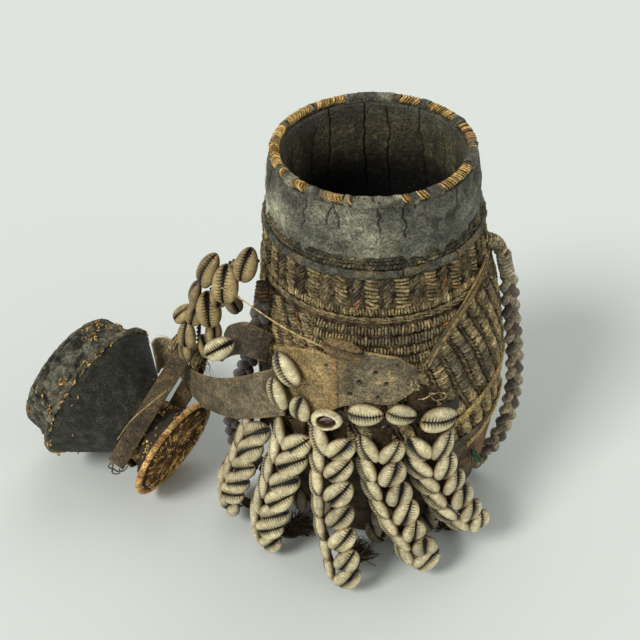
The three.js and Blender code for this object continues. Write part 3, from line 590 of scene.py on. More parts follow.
def ragged(cracks, seed, wander=1.1):
    """The cracks with small random turns every few millimetres."""
    draw = np.random.default_rng(seed)
    found = []
    for crack in cracks:
        line = np.array([(a, 0.0, z) for a, z in crack])
        count = max(3, int(lengths(line)[-1] / 2.6))
        line = at_share(line, np.linspace(0, 1, count))
        line[1:, 0] += draw.uniform(-wander, wander, count - 1)
        found.append([(a, z) for a, _, z in line])
    return found


JACKET_THICKNESS = 3
VESSEL_WALL = 7
VESSEL_FLOOR_TOP = 10.3
VESSEL_BOTTOM = 2.3
INSIDE_DUST = srgb(104, 98, 74)
INSIDE_PALE = srgb(150, 144, 106)


def make_vessel():
    columns = 600
    azimuth = around(columns)
    inset = JACKET_THICKNESS + GAP
    sections, tints = [], []
    outer_cracks = ragged(COLLAR_CRACKS, 11)
    inner_cracks = ragged(INSIDE_CRACKS, 12, 0.6)

    def ring(height, radius, tint):
        sections.append(on_circle(azimuth, height, radius))
        tints.append(np.broadcast_to(tint, (columns, 3)))

    # The hidden underside is painted with shade
    ring(VESSEL_BOTTOM, 2, PAINTED_SHADE)
    for height in (VESSEL_BOTTOM, *np.linspace(JACKET_BOTTOM, JACKET_TOP - 4, 9)):
        ring(height, body_radius(height) - inset, CLAY_DARK)
    rise = BINDING_BOTTOM - JACKET_TOP
    shape_at = np.array([0, 0.04, 0.35, 0.7, 1]) * rise + JACKET_TOP
    outer_rim = MOUTH_RADIUS + RIM_WALL
    shape_radius = [
        NECK_RADIUS - 1.0, NECK_RADIUS - 0.7, NECK_RADIUS, mix(outer_rim, NECK_RADIUS, 0.6), outer_rim,
    ]
    # The collar's lower edge hangs over the twined rows in ragged flakes
    girth = on_circle(azimuth, 0, 60)
    flakes = smooth(noise(girth, 11, 3) + 0.45 * noise(girth, 3.5, 4), -0.3, 0.7)
    for height in np.linspace(JACKET_TOP, BINDING_BOTTOM, 58):
        edge_share = 1 - smooth(height, JACKET_TOP, JACKET_TOP + 5)
        level = height - edge_share * (4.6 * flakes - 0.6)
        place = on_circle(azimuth, level, 66)
        lumps = 0.8 * rough_noise(place, 17, 5) + 0.7 * rough_noise(place, 5, 6) + 0.3 * noise(place, 1.9, 7)
        pits = smooth(noise(place, 4, 13), 0.35, 0.75) * smooth(noise(place, 15, 14), -0.2, 0.4)
        crack = crack_depth(azimuth, level, outer_cracks, 66, 0.42)
        radius = np.interp(height, shape_at, shape_radius) + lumps - 1.5 * crack - 0.6 * pits
        radius = radius + edge_share * (0.6 + 2.4 * flakes)
        # Paler towards the left side, about -62 degrees round, and in patches
        left_pallor = smooth(noise(place, 18, 8) + 0.9 * np.cos(np.radians(azimuth + 62)) - 0.35, 0, 1.2)
        mottle = smooth(rough_noise(place, 3.2, 15), -0.6, 0.7)
        tint = blend_colour(CLAY * 0.62, CLAY * 1.3, smooth(lumps + 0.6 * (mottle - 0.5), -0.7, 0.8))
        tint = blend_colour(tint, CLAY_LIGHT, 0.85 * left_pallor * (0.35 + 0.65 * mottle))
        # Dark patches, and painted shade in the pits
        tint = blend_colour(tint, CLAY_DARK, 0.6 * smooth(noise(place, 9, 9), 0.25, 0.75) + 0.25 * pits)
        tint = blend_colour(tint, CLAY_DARK, 0.4 * smooth(height, 282, 294) * (1 - left_pallor))
        tint = tint * (1 + 0.4 * smooth(np.abs(azimuth), 15, 75))[:, None]
        # Painted shade in the cracks
        tint = blend_colour(tint, PAINTED_SHADE, np.clip(1.1 * crack, 0, 1))
        sections.append(on_circle(azimuth, level, radius))
        tints.append(tint)
    ring(BINDING_BOTTOM + 0.6, outer_rim - 2, CLAY_DARK)
    ring(BINDING_BOTTOM + 0.6, MOUTH_RADIUS + 1.5, CLAY_DARK)
    top_inside = body_radius(JACKET_TOP) - inset - VESSEL_WALL
    for height in [*np.linspace(BINDING_BOTTOM, 196, 54), *np.linspace(188, VESSEL_FLOOR_TOP + 6, 12)]:
        wall = body_radius(height) - inset - VESSEL_WALL
        flare = mix(top_inside, MOUTH_RADIUS, (height - JACKET_TOP) / rise)
        base = mix(wall, flare, float(height > JACKET_TOP))
        place = on_circle(azimuth, height, 57)
        crack = crack_depth(azimuth, height, inner_cracks, 57, 0.45)
        long_grain = place * (1, 1, 0.4)
        lumps = 0.6 * rough_noise(long_grain, 9, 21) + 0.35 * rough_noise(place, 3, 22)
        radius = base + lumps - 0.3 + 1.6 * crack
        # Painted light and shade: the inside is lit near the mouth and painted near black with shade below
        # about 236 mm
        lit = smooth(height, 236, 284) * (0.7 + 0.4 * noise(long_grain, 9, 23))
        tint = blend_colour(PAINTED_SHADE * 0.5, INSIDE_DUST, lit)
        tint = blend_colour(tint, CLAY_DARK, 0.75 * smooth(rough_noise(place, 12, 24), 0.1, 0.7))
        pale = 0.85 * smooth(rough_noise(place, 4.0, 25), 0.15, 0.6) * lit
        tint = blend_colour(tint, INSIDE_PALE, pale)
        tint = blend_colour(tint, CLAY * 0.9, 0.7 * smooth(height, 276, 292))
        # Painted shade in the inside cracks
        tint = blend_colour(tint, PAINTED_SHADE * 0.3, crack)
        sections.append(on_circle(azimuth, height, radius))
        tints.append(tint)
    # The floor deep inside is painted with shade
    ring(VESSEL_FLOOR_TOP, 50, PAINTED_SHADE)
    ring(VESSEL_FLOOR_TOP, 2, PAINTED_SHADE)
    skin = Skin()
    skin.rings(np.stack(sections), np.stack(tints))
    piece("charcoal_vessel", skin, CLAY_MATERIAL, "jug", ["inner_vessel"])


def make_base_jacket():
    """The woven wall that shows as the dark ground between its stitches, painted with shade, less of it where
    its relief stands out.
    """
    columns = 320
    azimuth = around(columns)
    heights = np.concatenate([np.linspace(JACKET_BOTTOM, BOOT_TOP - 6, 10), np.arange(BOOT_TOP - 4, 252, 1.3),
                              np.linspace(252, JACKET_TOP - 0.3, 8)])
    outer = on_body(azimuth[None], heights[:, None], -0.2)
    relief = 0.45 * rough_noise(outer, 2.4, 31) + 0.4 * rough_noise(outer, 12, 32)
    outer = on_body(azimuth[None], heights[:, None], relief - 0.1)
    # Painted shade, lightest on the relief's high points
    tint = blend_colour(DARK_BROWN * 0.3, BROWN * 0.7, smooth(relief + 0.3 * noise(outer, 5, 33), -0.3, 0.5))
    lower = heights[::12]
    inner = on_body(azimuth[None], lower[::-1, None], -JACKET_THICKNESS + 0.1)
    skin = Skin()
    skin.rings(
        np.concatenate([outer, inner]),
        np.concatenate([tint, np.broadcast_to(DARK_BROWN, inner.shape)]),
        closed=True,
    )
    piece("jacket_ground", skin, FIBRE_MATERIAL, "jug", ["woven_jacket"])


# Stitches: short rounded bars laid on the jug's surface
BAR_LONG = np.array([-1, -0.82, 0, 0.82, 1])
BAR_ROUND = np.array([0.3, 0.86, 1, 0.86, 0.3])
BAR_SIDES = 6


def bar_grid(length, width, thick):
    """Distances along, across and up for the points of rounded bars, from one number of each a bar."""
    section = turns(BAR_SIDES)
    length, width, thick = (value[:, None, None] for value in (length, width, thick))
    across = BAR_ROUND[None, :, None] * np.cos(section) * width / 2
    rise = BAR_ROUND[None, :, None] * np.sin(section) * thick / 2
    return BAR_LONG[None, :, None] * length / 2, across, rise


def bars(skin, azimuth, height, angle, size, out, tints, seed=0, rough=4.0):
    """Stitches at places on the body. angle is degrees from level, size is (length, width, thickness), and
    rough is how many degrees they stray."""
    azimuth, height, angle = np.broadcast_arrays(*(np.asarray(v, float) for v in (azimuth, height, angle)))
    draw = np.random.default_rng(seed)
    count = azimuth.size
    length, width, thick = (np.broadcast_to(np.asarray(v, float), azimuth.shape).ravel() for v in size)
    length = length * draw.uniform(0.78, 1.12, count)
    width = width * draw.uniform(0.75, 1.2, count)
    lift = np.broadcast_to(np.asarray(out, float), azimuth.shape).ravel() + draw.uniform(-0.4, 0.3, count)
    turn = np.radians(angle.ravel() + draw.normal(0, rough, count))
    azimuth, height = azimuth.ravel(), height.ravel()
    along, across, rise = bar_grid(length, width, thick)
    cos, sin = np.cos(turn)[:, None, None], np.sin(turn)[:, None, None]
    reach = np.degrees(1 / body_radius(height))[:, None, None]
    at_azimuth = azimuth[:, None, None] + (along * cos - across * sin) * reach
    at_height = height[:, None, None] + along * sin + across * cos
    sag = -0.5 * (BAR_LONG[None, :, None] ** 2)
    rings = on_body(at_azimuth, at_height, lift[:, None, None] + rise + sag * thick[:, None, None] * 0.6)
    rings = rings + 0.35 * noise(rings, 1.9, seed + 3)[..., None] * radial(azimuth)[:, None, None]
    tints = np.broadcast_to(tints, (count, 3)) * draw.uniform(0.55, 1.25, (count, 1))
    skin.copies(rings, tints)


def weave_tints(azimuth, height, low, high, seed):
    """Worn colours of stitches: patches of tan, dirt and a little rust."""
    place = on_body(azimuth, height, 0)
    tint = blend_colour(low, high, smooth(rough_noise(place, 13, seed) + 0.25, -0.4, 0.8))
    tint = blend_colour(tint, CLAY * 0.9, 0.45 * smooth(noise(place, 17, seed + 1), 0.25, 0.7))
    return blend_colour(tint, RUST, 0.8 * smooth(noise(place, 9, seed + 2), 0.62, 0.85))


CHEVRON_BOTTOM = 227.5
CHEVRON_TOP = 246.5
CHEVRON_PITCH = 15.0
CHEVRON_OFFSET = -4.8
CHEVRON_COUNT = 24
HERRING_TOP = 213.0
HERRING_BOTTOM = BOOT_TOP - 2
HERRING_COLUMNS = 40
HERRING_SLANT = 0.4
COIL_LEFT = -36.0
LACE_ROUTE = [(17, 184), (24, 198), (38, 213), (54, 225), (66, 231)]
LOWER_LACES = [
    [(31, 125), (45, 133), (65, 139), (82, 142)],
    [(40, 95), (52, 99), (63, 103), (80, 107)],
]


def coil_right(height):
    """Azimuth where a coil dives under the upper lace."""
    return np.interp(height, [z for _, z in LACE_ROUTE], [a for a, _ in LACE_ROUTE])


def make_chevrons(skin):
    """Feathered columns: gently falling stitches, then steep ones, over a foot row of upright ones."""
    rows = np.arange(CHEVRON_BOTTOM, CHEVRON_TOP, 2.6)
    centres = CHEVRON_OFFSET + np.arange(CHEVRON_COUNT) * CHEVRON_PITCH
    draw = np.random.default_rng(5)
    fall = np.broadcast_to(draw.uniform(-20, -4, CHEVRON_COUNT), (len(rows), CHEVRON_COUNT))
    azimuth, height = np.meshgrid(centres, rows)
    tint = weave_tints(azimuth, height, BROWN * 0.95, TAN * 0.72, 41).reshape(-1, 3)
    bars(skin, azimuth, height, fall, (9.0, 1.8, 2.2), 0.85, tint, 1, 6)
    steep_rows = np.arange(CHEVRON_BOTTOM, CHEVRON_TOP, 3.0)
    azimuth, height = np.meshgrid(centres + 0.5 * CHEVRON_PITCH + 0.2, steep_rows)
    tint = weave_tints(azimuth, height, DARK_BROWN * 1.1, BROWN * 1.1, 44).reshape(-1, 3)
    bars(skin, azimuth, height, 54, (8.6, 2.2, 2.1), 0.6, tint, 2, 7)
    # Clay clots that fill some of the steep columns
    count = 150
    column = centres[draw.integers(0, CHEVRON_COUNT, count)]
    azimuth = column + 0.5 * CHEVRON_PITCH + draw.uniform(-2.5, 3.5, count)
    height = draw.uniform(230, 246, count)
    keep = noise(on_body(azimuth, height, 0), 14, 48) > -0.1
    bars(skin, azimuth[keep], height[keep], 70, (3.4, 2.4, 2.0), 0.7, BROWN * 0.55, 13, 30)
    foot = around(236)
    tint = weave_tints(foot, np.full(236, 223.0), BROWN, TAN, 47)
    bars(skin, foot, 223.8, 88, (5.6, 1.9, 1.9), 0.6, tint, 12, 8)


def make_twined_rows(skin):
    """Rows of slanted stitches under the collar, half drowned in clay."""
    for row, level in enumerate((247.6, 254.6, 257.4, 260.2)):
        places = around(172) + 0.9 * row
        wave = level + 0.5 * noise(on_body(places, level, 0), 23, 55 + row)
        tint = weave_tints(places, wave, TWINE_GREEN * 0.6, TWINE_GREEN * 1.1, 50 + row)
        tint = blend_colour(tint, CLAY * 0.5, 0.8 * smooth(noise(on_body(places, level, 0), 12, 58), 0, 0.4))
        bars(skin, places, wave, 26 if row % 2 else -22, (3.7, 2.1, 2.1), 0.35, tint, 20 + row, 10)


def make_herringbone(skin):
    """Ribbed columns that run down to the right, with a clay-filled groove between each two."""
    column, height = np.meshgrid(np.arange(HERRING_COLUMNS), np.arange(HERRING_BOTTOM, HERRING_TOP, 1.95))
    pitch = 360 / HERRING_COLUMNS

    def column_azimuth(column, height):
        sway = 1.1 * noise(np.stack([9.0 * column, 0 * height, height], axis=-1), 22, 60)
        azimuth = column * pitch + np.degrees((160 - height) * HERRING_SLANT / 80) + sway
        return (azimuth + 180) % 360 - 180

    def uncovered(azimuth, height):
        return ~((azimuth > COIL_LEFT + 2) & (azimuth < coil_right(height) - 3) & (height > 177))

    azimuth = column_azimuth(column, height)
    worn = smooth(noise(on_body(azimuth, height, 0), 26, 66), 0.1, 0.6)
    tint = weave_tints(azimuth, height, BROWN * 1.15, TAN * 1.15, 61)
    tint = blend_colour(tint, CLAY * 0.8, 0.6 * worn)
    shown = uncovered(azimuth, height)
    out = 0.8 - 0.3 * worn[shown]
    bars(skin, azimuth[shown], height[shown], 12, (8.2, 1.65, 2.3), out, tint[shown], 31, 8)
    # Grooves: a low wandering ridge of clay, with short steep stitches over it
    for k in range(HERRING_COLUMNS):
        level = np.arange(HERRING_BOTTOM - 1, HERRING_TOP, 2.4)
        place = column_azimuth(np.full(len(level), k + 0.52), level)
        swap_at = np.flatnonzero(np.abs(np.diff(place)) > 180)
        for run in np.split(np.arange(len(level)), swap_at + 1):
            run = run[uncovered(place[run], level[run])]
            if len(run) < 4:
                continue
            line = on_body(place[run], level[run], 0.4 * noise(on_body(place[run], level[run], 0), 5, 67))
            radius = 0.95 + 0.5 * noise(line, 4, 68)
            tone = blend_colour(DARK_BROWN * 0.7, BROWN * 0.8, smooth(noise(line, 6, 69), -0.5, 0.6))
            skin.tube(line, radius, tone, 6)
    column, height = np.meshgrid(np.arange(HERRING_COLUMNS), np.arange(HERRING_BOTTOM, HERRING_TOP, 4.0))
    azimuth = column_azimuth(column + 0.52, height)
    tint = weave_tints(azimuth, height, DARK_BROWN * 1.3, BROWN * 1.2, 64)
    shown = uncovered(azimuth, height)
    bars(skin, azimuth[shown], height[shown], -50, (5.0, 1.6, 1.9), 0.75, tint[shown], 32, 14)


def make_stitches():
    skin = Skin()
    make_chevrons(skin)
    make_twined_rows(skin)
    piece("shoulder_stitches", skin, FIBRE_MATERIAL, "jug")
    skin = Skin()
    make_herringbone(skin)
    piece("belly_stitches", skin, FIBRE_MATERIAL, "jug")


def arc_band(skin, height, half, start, stop, out, thick, tint):
    """A rounded band along part of the jug's girth, thin at both ends."""
    reach = body_radius(height)
    columns = max(8, int(np.radians(stop - start) * reach / 0.9))
    azimuth = np.linspace(start, stop, columns)
    section = turns(10)
    ends = np.sqrt(np.clip(np.minimum(azimuth - start, stop - azimuth) / 4, 0.02, 1))
    level = height + half * np.sin(section)[None] * ends[:, None]
    rise = thick / 2 * (1 + np.cos(section)[None]) * ends[:, None]
    skin.rings(on_body(azimuth[:, None], level, out + rise), tint)


COIL_HEIGHTS = (211.0, 203.6, 196.2)
LOW_COILS = (188.8, 181.6)
COIL_HALF = 3.3


def make_coils():
    def coil(skin, height, seed):
        stop = coil_right(height) + 1.5
        arc_band(skin, height, COIL_HALF - 0.7, COIL_LEFT, stop, -0.2, 1.7, DARK_BROWN * 0.6)
        count = int(np.radians(stop - COIL_LEFT) * body_radius(height) / 2.05)
        azimuth = np.linspace(COIL_LEFT + 1, stop - 1, count)
        level = height + 0.5 * noise(on_body(azimuth, height, 0), 12, seed)
        tint = weave_tints(azimuth, level, BROWN * 1.05, TAN * 0.75, seed)
        bars(skin, azimuth, level, 84, (5.9, 1.85, 2.6), 1.3, tint, seed + 1, 7)

    for i, height in enumerate(COIL_HEIGHTS):
        skin = Skin()
        coil(skin, height, 70 + 3 * i)
        piece(f"coil_row_{i + 1}", skin, FIBRE_MATERIAL, "jug", [f"belly_coil_{i + 1}"])
    skin = Skin()
    for i, height in enumerate(LOW_COILS):
        coil(skin, height, 90 + 3 * i)
    piece("coil_rows_low", skin, FIBRE_MATERIAL, "jug")


def make_shoulder_ring():
    """The thick clay ring, lumpy and cracked across, sagging over the chevrons here and there."""
    columns, sides = 720, 16
    azimuth = around(columns)[:, None]
    section = turns(sides)[None]
    place = on_body(azimuth, 250.5, 0)
    swell = 1 + 0.2 * noise(place, 12, 71) + 0.16 * noise(place, 4, 72)
    gaps = np.exp(-((((azimuth + 4) % 31) - 15) / 0.45) ** 2) * (noise(place, 9, 77) > -0.2)
    wander = 0.7 * noise(place, 21, 73)
    sag = 1.6 * smooth(noise(place, 13, 74), 0.25, 0.8)
    low = np.sin(section) < 0
    level = 250.6 + wander + np.sin(section) * (2.4 * swell + np.where(low, sag, 0)) * (1 - 0.35 * gaps)
    rise = 1.35 * (1 + np.cos(section) * swell) * (1 - 0.6 * gaps)
    points = on_body(azimuth, level, 0.2 + rise)
    out = 0.2 + rise + 0.9 * rough_noise(points, 4.0, 75) + 0.4 * noise(points, 1.6, 79)
    points = on_body(azimuth, level, out)
    tint = blend_colour(CLAY * 0.5, CLAY * 1.25, smooth(rough_noise(points, 4, 76), -0.4, 0.7))
    tint = blend_colour(tint, BROWN * 0.8, 0.75 * smooth(rough_noise(points, 9, 78), -0.1, 0.45))
    # Painted shade in the cracks across the ring
    tint = blend_colour(tint, PAINTED_SHADE, np.clip(gaps + 0 * section, 0, 1))
    skin = Skin()
    skin.rings(points, tint, closed=True)
    piece("clay_ring", skin, CLAY_MATERIAL, "jug", ["shoulder_ring"])


def twisted(skin, azimuth, height, out, radius, pitch, strands, tints, closed, spread=0.8, seed=0):
    """Strands twisted round a line on the body given by azimuths and heights."""
    line = on_body(azimuth, height, out)
    along = lengths(line)
    _, side, up = frames(line, closed)
    total = along[-1] + (np.linalg.norm(line[0] - line[-1]) if closed else 0)
    pitch = total / max(1, round(total / pitch)) if closed else pitch
    for k in range(strands):
        turn = TURN * (along / pitch + k / strands)
        wobble = 0.25 * radius * noise(line + 40 * k, 6, seed + k)[:, None]
        path = coiled(line, side, up, turn, radius * spread + wobble)
        tint = weave_tints(azimuth, height, tints[k] * 0.75, tints[k] * 1.2, seed + 5 * k)
        skin.tube(path, radius, tint, 7, closed)


def make_ridge():
    skin = Skin()
    azimuth = around(620)
    for k, (level, tone) in enumerate(((220.0, BROWN * 1.2), (218.1, BROWN * 0.9))):
        height = level + 0.4 * noise(on_body(azimuth, 219, 0), 25, 81 + k)
        twisted(skin, azimuth, height, 1.3, 0.62, 14, 2, [tone, tone * 0.8], True, 0.9, 84 + k)
    piece("ridge_cords", skin, FIBRE_MATERIAL, "jug", ["ridge_cord"])


# Stitched rings: loops of fibre wound round a closed line
def wound(skin, line, half_across, half_up, pitch, thread, tints, across, lean=0.35, sides=5, seed=0):
    """Loops round a closed line. half_across and half_up are the ring's own half sizes, along across and
    square to it, and tints is one colour a loop."""
    draw = np.random.default_rng(seed)
    closed_line = np.vstack([line, line[:1]])
    count = int(lengths(closed_line)[-1] / pitch)
    share = (np.arange(count) + draw.uniform(-0.12, 0.12, count)) / count
    centre = at_share(closed_line, share % 1)
    ahead = at_share(closed_line, (share + 0.002) % 1)
    along = unit(ahead - centre)
    side = unit(across(centre))
    up = np.cross(along, side)
    turn = turns(12)
    size = draw.uniform(0.93, 1.1, count)[:, None, None]
    ring = centre[:, None] + size * (
        np.cos(turn)[None, :, None] * side[:, None] * half_across
        + np.sin(turn)[None, :, None] * up[:, None] * half_up
    )
    ring = ring + along[:, None] * (lean * pitch * np.sin(turn)[None, :, None])
    outward = unit(ring - centre[:, None])
    section = turns(sides)
    width = thread * draw.uniform(0.85, 1.15, count)[:, None, None, None]
    tube = ring[:, :, None] + width * (
        np.cos(section)[None, None, :, None] * outward[:, :, None] * 0.6
        + np.sin(section)[None, None, :, None] * along[:, None, None]
    )
    colours = tints(centre)
    for k in range(count):
        skin.rings(tube[k], colours[k] * draw.uniform(0.6, 1.15), closed=True)


# Stretches of the rim, in degrees, where the stitching is worn to gold
RIM_GOLD = [
    (-165, -96), (-94, -60), (-52, -36), (-32, -14), (12, 17), (21, 28), (36, 66), (70, 74), (82, 110),
    (118, 140), (146, 164),
]


def rim_gold(points):
    """How much of the golden stitching shows at places on the rim, from 0 to 1."""
    angle = np.degrees(np.arctan2(points[..., 0] - body_centre(RIM_HEIGHT), -points[..., 1]))
    share = np.zeros(angle.shape)
    for start, stop in RIM_GOLD:
        inside = smooth(angle, start - 1, start + 2) * (1 - smooth(angle, stop - 2, stop + 1))
        share = np.maximum(share, inside)
    return share * smooth(rough_noise(points, 6, 92), -0.42, -0.05)


def make_rim():
    radius = MOUTH_RADIUS + RIM_WALL / 2
    height = (RIM_HEIGHT + BINDING_BOTTOM + GAP) / 2
    line = on_circle(around(400), height, radius)

    def outwards(points):
        return (points - [body_centre(height), 0, 0]) * [1, 1, 0]

    def tints(points):
        tint = blend_colour(GOLD_DARK, GOLD, smooth(noise(points, 3, 91), -0.5, 0.4))
        return blend_colour(CLAY_DARK, tint, np.clip(1.5 * rim_gold(points), 0, 1))

    skin = Skin()
    wound(skin, line, RIM_WALL / 2 - 0.75, 2.25, 2.05, 0.78, tints, outwards, 0.9, seed=93)
    piece("rim_stitches", skin, GOLD_MATERIAL, "jug", ["rim_binding"])

    # The clay that still covers the stitching where it isn't worn to gold, and runs on into the collar
    columns, sides = 800, 20
    azimuth = around(columns)[:, None]
    section = turns(sides)[None]
    cos, sin = np.cos(section), np.sin(section)
    bare = rim_gold(on_circle(azimuth, height, radius))
    skirt = 3.4 * np.maximum(cos, 0) * np.maximum(-sin, 0) + 2.0 * np.maximum(-cos, 0) * np.maximum(-sin, 0)
    level = height + 2.85 * sin - 1.6 * skirt
    lump_at = on_circle(azimuth, level, radius + 3 * cos)
    lumps = 0.5 * rough_noise(lump_at, 5, 95) + 0.3 * noise(lump_at, 1.8, 97)
    upper = smooth(sin, -0.75, -0.2)
    thick = 1 + lumps / 3 - 0.42 * bare * upper
    level = height + 2.75 * sin * thick - 1.6 * skirt
    points = on_circle(azimuth, level, radius + (RIM_WALL / 2) * cos * thick)
    tint = blend_colour(CLAY * 0.7, CLAY_LIGHT * 0.85, smooth(rough_noise(points, 6, 96), -0.4, 0.9))
    # Painted shade between the gold stitches, where the clay thins to bare them
    tint = blend_colour(tint, PAINTED_SHADE, bare * upper)
    skin = Skin()
    skin.rings(points, tint, closed=True)
    piece("rim_clay", skin, CLAY_MATERIAL, "jug")


BASE_FOOT = 61.5
BOOT_TAN = srgb(136, 98, 58)


def make_boot():
    """Hide sewn over the lower half, with a creased, tan-worn face."""
    columns = 400
    azimuth = around(columns)
    heights = np.concatenate([np.linspace(JACKET_BOTTOM - 3, 30, 12), np.arange(32, BOOT_TOP + 0.1, 1.5)])
    face = on_body(azimuth[None], heights[:, None], 0)
    folds = np.sin(np.radians(azimuth * 9) + 3 * noise(face, 40, 101))
    folds = folds * (1 - smooth(heights, 12, 60))[:, None]
    relief = 0.7 * rough_noise(face, 11, 102) + 0.25 * rough_noise(face, 3, 103) + 0.5 * folds
    out = GAP + 1.7 + relief * smooth(heights, 2, 20)[:, None]
    outer = on_body(azimuth[None], heights[:, None], out)
    tint = blend_colour(HIDE * 0.25, HIDE * 0.8, smooth(rough_noise(face, 9, 104), -0.5, 0.6))
    tint = blend_colour(tint, RUST * 0.8, 0.6 * smooth(rough_noise(face, 12, 105), 0.3, 0.8))
    right = smooth(azimuth * (azimuth < 180), 28, 60)[None] * smooth(heights, 30, 80)[:, None]
    tint = blend_colour(tint, BOOT_TAN, 0.75 * right)
    tint = blend_colour(tint, LEATHER * 0.7, 0.8 * smooth(heights, 84, 98)[:, None])
    foot = [on_circle(azimuth, 0, r) for r in (2, BASE_FOOT - 8, BASE_FOOT - 1)]
    foot.append(on_circle(azimuth, 1, BASE_FOOT + 1))
    inner = on_body(azimuth[None], np.array([BOOT_TOP, 70, 40, JACKET_BOTTOM, 2.2])[:, None], GAP)
    inner_floor = on_circle(azimuth, 2, 2)[None]
    rings = np.concatenate([np.stack(foot), outer, inner, inner_floor])
    tints = np.concatenate([
        np.broadcast_to(HIDE * 0.5, (4, columns, 3)), tint, np.broadcast_to(HIDE * 0.5, (6, columns, 3)),
    ])
    skin = Skin()
    skin.rings(rings, tints)
    piece("boot_hide", skin, HIDE_MATERIAL, "jug", ["hide_boot"])


# Leather on the belly
BELT_OUT = GAP
LEATHER_THICKNESS = 2.2
BAND_OUT = BELT_OUT + LEATHER_THICKNESS + 2 * GAP
BAND_TOP = [(-60, 168), (-39, 185), (-25, 193), (-15, 191), (-6, 199), (6, 195), (14, 184)]
BAND_BOTTOM = [(-60, 136), (-50, 139.5), (-31, 142), (-19, 154), (-8, 161), (2, 160), (14, 173)]
BAND_RIGHT = 13
TETHER_LOW = np.array([-69.1, -58, 144])
TETHER_HIGH = np.array([-79.6, -24.3, 229])
TETHER_AXIS = unit(TETHER_HIGH - TETHER_LOW)
TETHER_AZIMUTH = np.degrees(np.arctan2(TETHER_LOW[0], -TETHER_LOW[1]))
BELLY_RADIUS = 86
# Millimetres that a degree takes up on the belly, for holes and for laces
HOLE_DEGREE = 1.45
LACE_DEGREE = 1.4


def edge(corners, azimuth):
    return np.interp(azimuth, [a for a, _ in corners], [z for _, z in corners])


def leather_tint(points, seed, base=LEATHER, worn=LEATHER_TAN):
    tint = blend_colour(base * 0.72, base * 1.25, smooth(rough_noise(points, 20, seed), -0.6, 0.6))
    tint = blend_colour(tint, worn, 0.55 * smooth(rough_noise(points * (1, 1, 2.2), 9, seed + 1), 0.25, 0.8))
    scuffed = smooth(rough_noise(points * (1, 1, 1.8), 2.4, seed + 3), -0.6, 0.6)
    tint = tint * (0.74 + 0.5 * scuffed)[..., None]
    return blend_colour(tint, LEATHER_DARK * 0.8, 0.6 * smooth(noise(points, 13, seed + 2), 0.4, 0.85))


# Holes in the band: azimuth, height, size
BAND_HOLES = [
    (-4.8, 184.5, 1.3), (-12.0, 176.5, 1.5), (-0.6, 175.8, 1.4), (-16.0, 166.0, 1.5), (-4.5, 166.0, 0.9),
    (4.5, 189.5, 0.9), (-26.5, 184, 1.2),
]
BAND_SEAM = -23.0


def make_band():
    columns, rows = 200, 90
    slope = np.degrees(TETHER_AXIS @ tangential(TETHER_AZIMUTH) / TETHER_AXIS[2] / BELLY_RADIUS)
    u = np.linspace(0, 1, columns)[:, None]
    v = np.linspace(0, 1, rows)[None]
    rough = mix(TETHER_AZIMUTH, BAND_RIGHT, u)
    height = mix(edge(BAND_BOTTOM, rough), edge(BAND_TOP, rough), v)
    left = TETHER_AZIMUTH + (height - TETHER_LOW[2]) * slope + 0.8
    nibble = 0.35 * noise_along(90 * v, 4, 111)
    azimuth = mix(left, BAND_RIGHT + nibble, u)
    wave = 0.5 * noise(np.stack([160 * u, 0 * u, 0 * u], -1), 14, 112)
    height = height + wave * np.abs(2 * v - 1) ** 3
    face = on_body(azimuth, height, 0)
    seam = np.exp(-(((azimuth - BAND_SEAM) * 1.5) / 2.2) ** 2)
    lift = 1.6 * smooth(-v + 0 * u, -0.25, 0) * smooth(u, 0.55, 0.8)
    scratch = rough_noise(face * (1.6, 1.6, 0.5), 5, 119)
    relief = 0.6 * rough_noise(face, 15, 113) + 0.3 * rough_noise(face, 4, 114)
    relief = relief + 0.25 * scratch + 0.9 * seam + lift
    relief = relief + 0.5 * smooth(-noise(face, 22, 115), 0.3, 0.8)
    holes = np.zeros(azimuth.shape)
    for a, z, size in BAND_HOLES:
        far = np.hypot((azimuth - a) * HOLE_DEGREE, height - z)
        holes = np.maximum(holes, np.exp(-((far / size) ** 4)))
        relief = relief + 0.45 * np.exp(-(((far - 1.7 * size) / 0.9) ** 2))
    tint = leather_tint(face, 116)
    stain = smooth(-(azimuth + 14), 0, 12) * (0.65 + 0.35 * noise(face, 8, 118))
    tint = blend_colour(tint, LEATHER_TAN, 0.85 * stain)
    tint = blend_colour(tint, LEATHER_TAN * 1.1, 0.45 * smooth(scratch, 0.2, 0.7))
    tint = blend_colour(tint, LEATHER_DARK, 0.7 * np.exp(-(((azimuth - BAND_SEAM) * 1.5 - 2.6) / 0.9) ** 2))
    tint = blend_colour(tint, GOLD_DARK, 0.5 * seam)
    rim = smooth(np.abs(2 * v - 1) + 0 * u, 0.93, 1)
    tint = blend_colour(tint, LEATHER_TAN * 1.1, 0.6 * rim)
    # Painted shade in the holes
    tint = blend_colour(tint, PAINTED_SHADE, holes)
    over = on_body(azimuth, height, BAND_OUT + LEATHER_THICKNESS + relief - 1.9 * holes)
    under = on_body(azimuth, height, BAND_OUT + 0.1 + lift)
    skin = Skin()
    skin.slab(over, under, tint)
    piece("band_leather", skin, LEATHER_MATERIAL, "jug", ["belly_band"])


PATCH_TOP = [(8, 162), (13, 170), (21, 165)]
PATCH_BOTTOM = 148.5


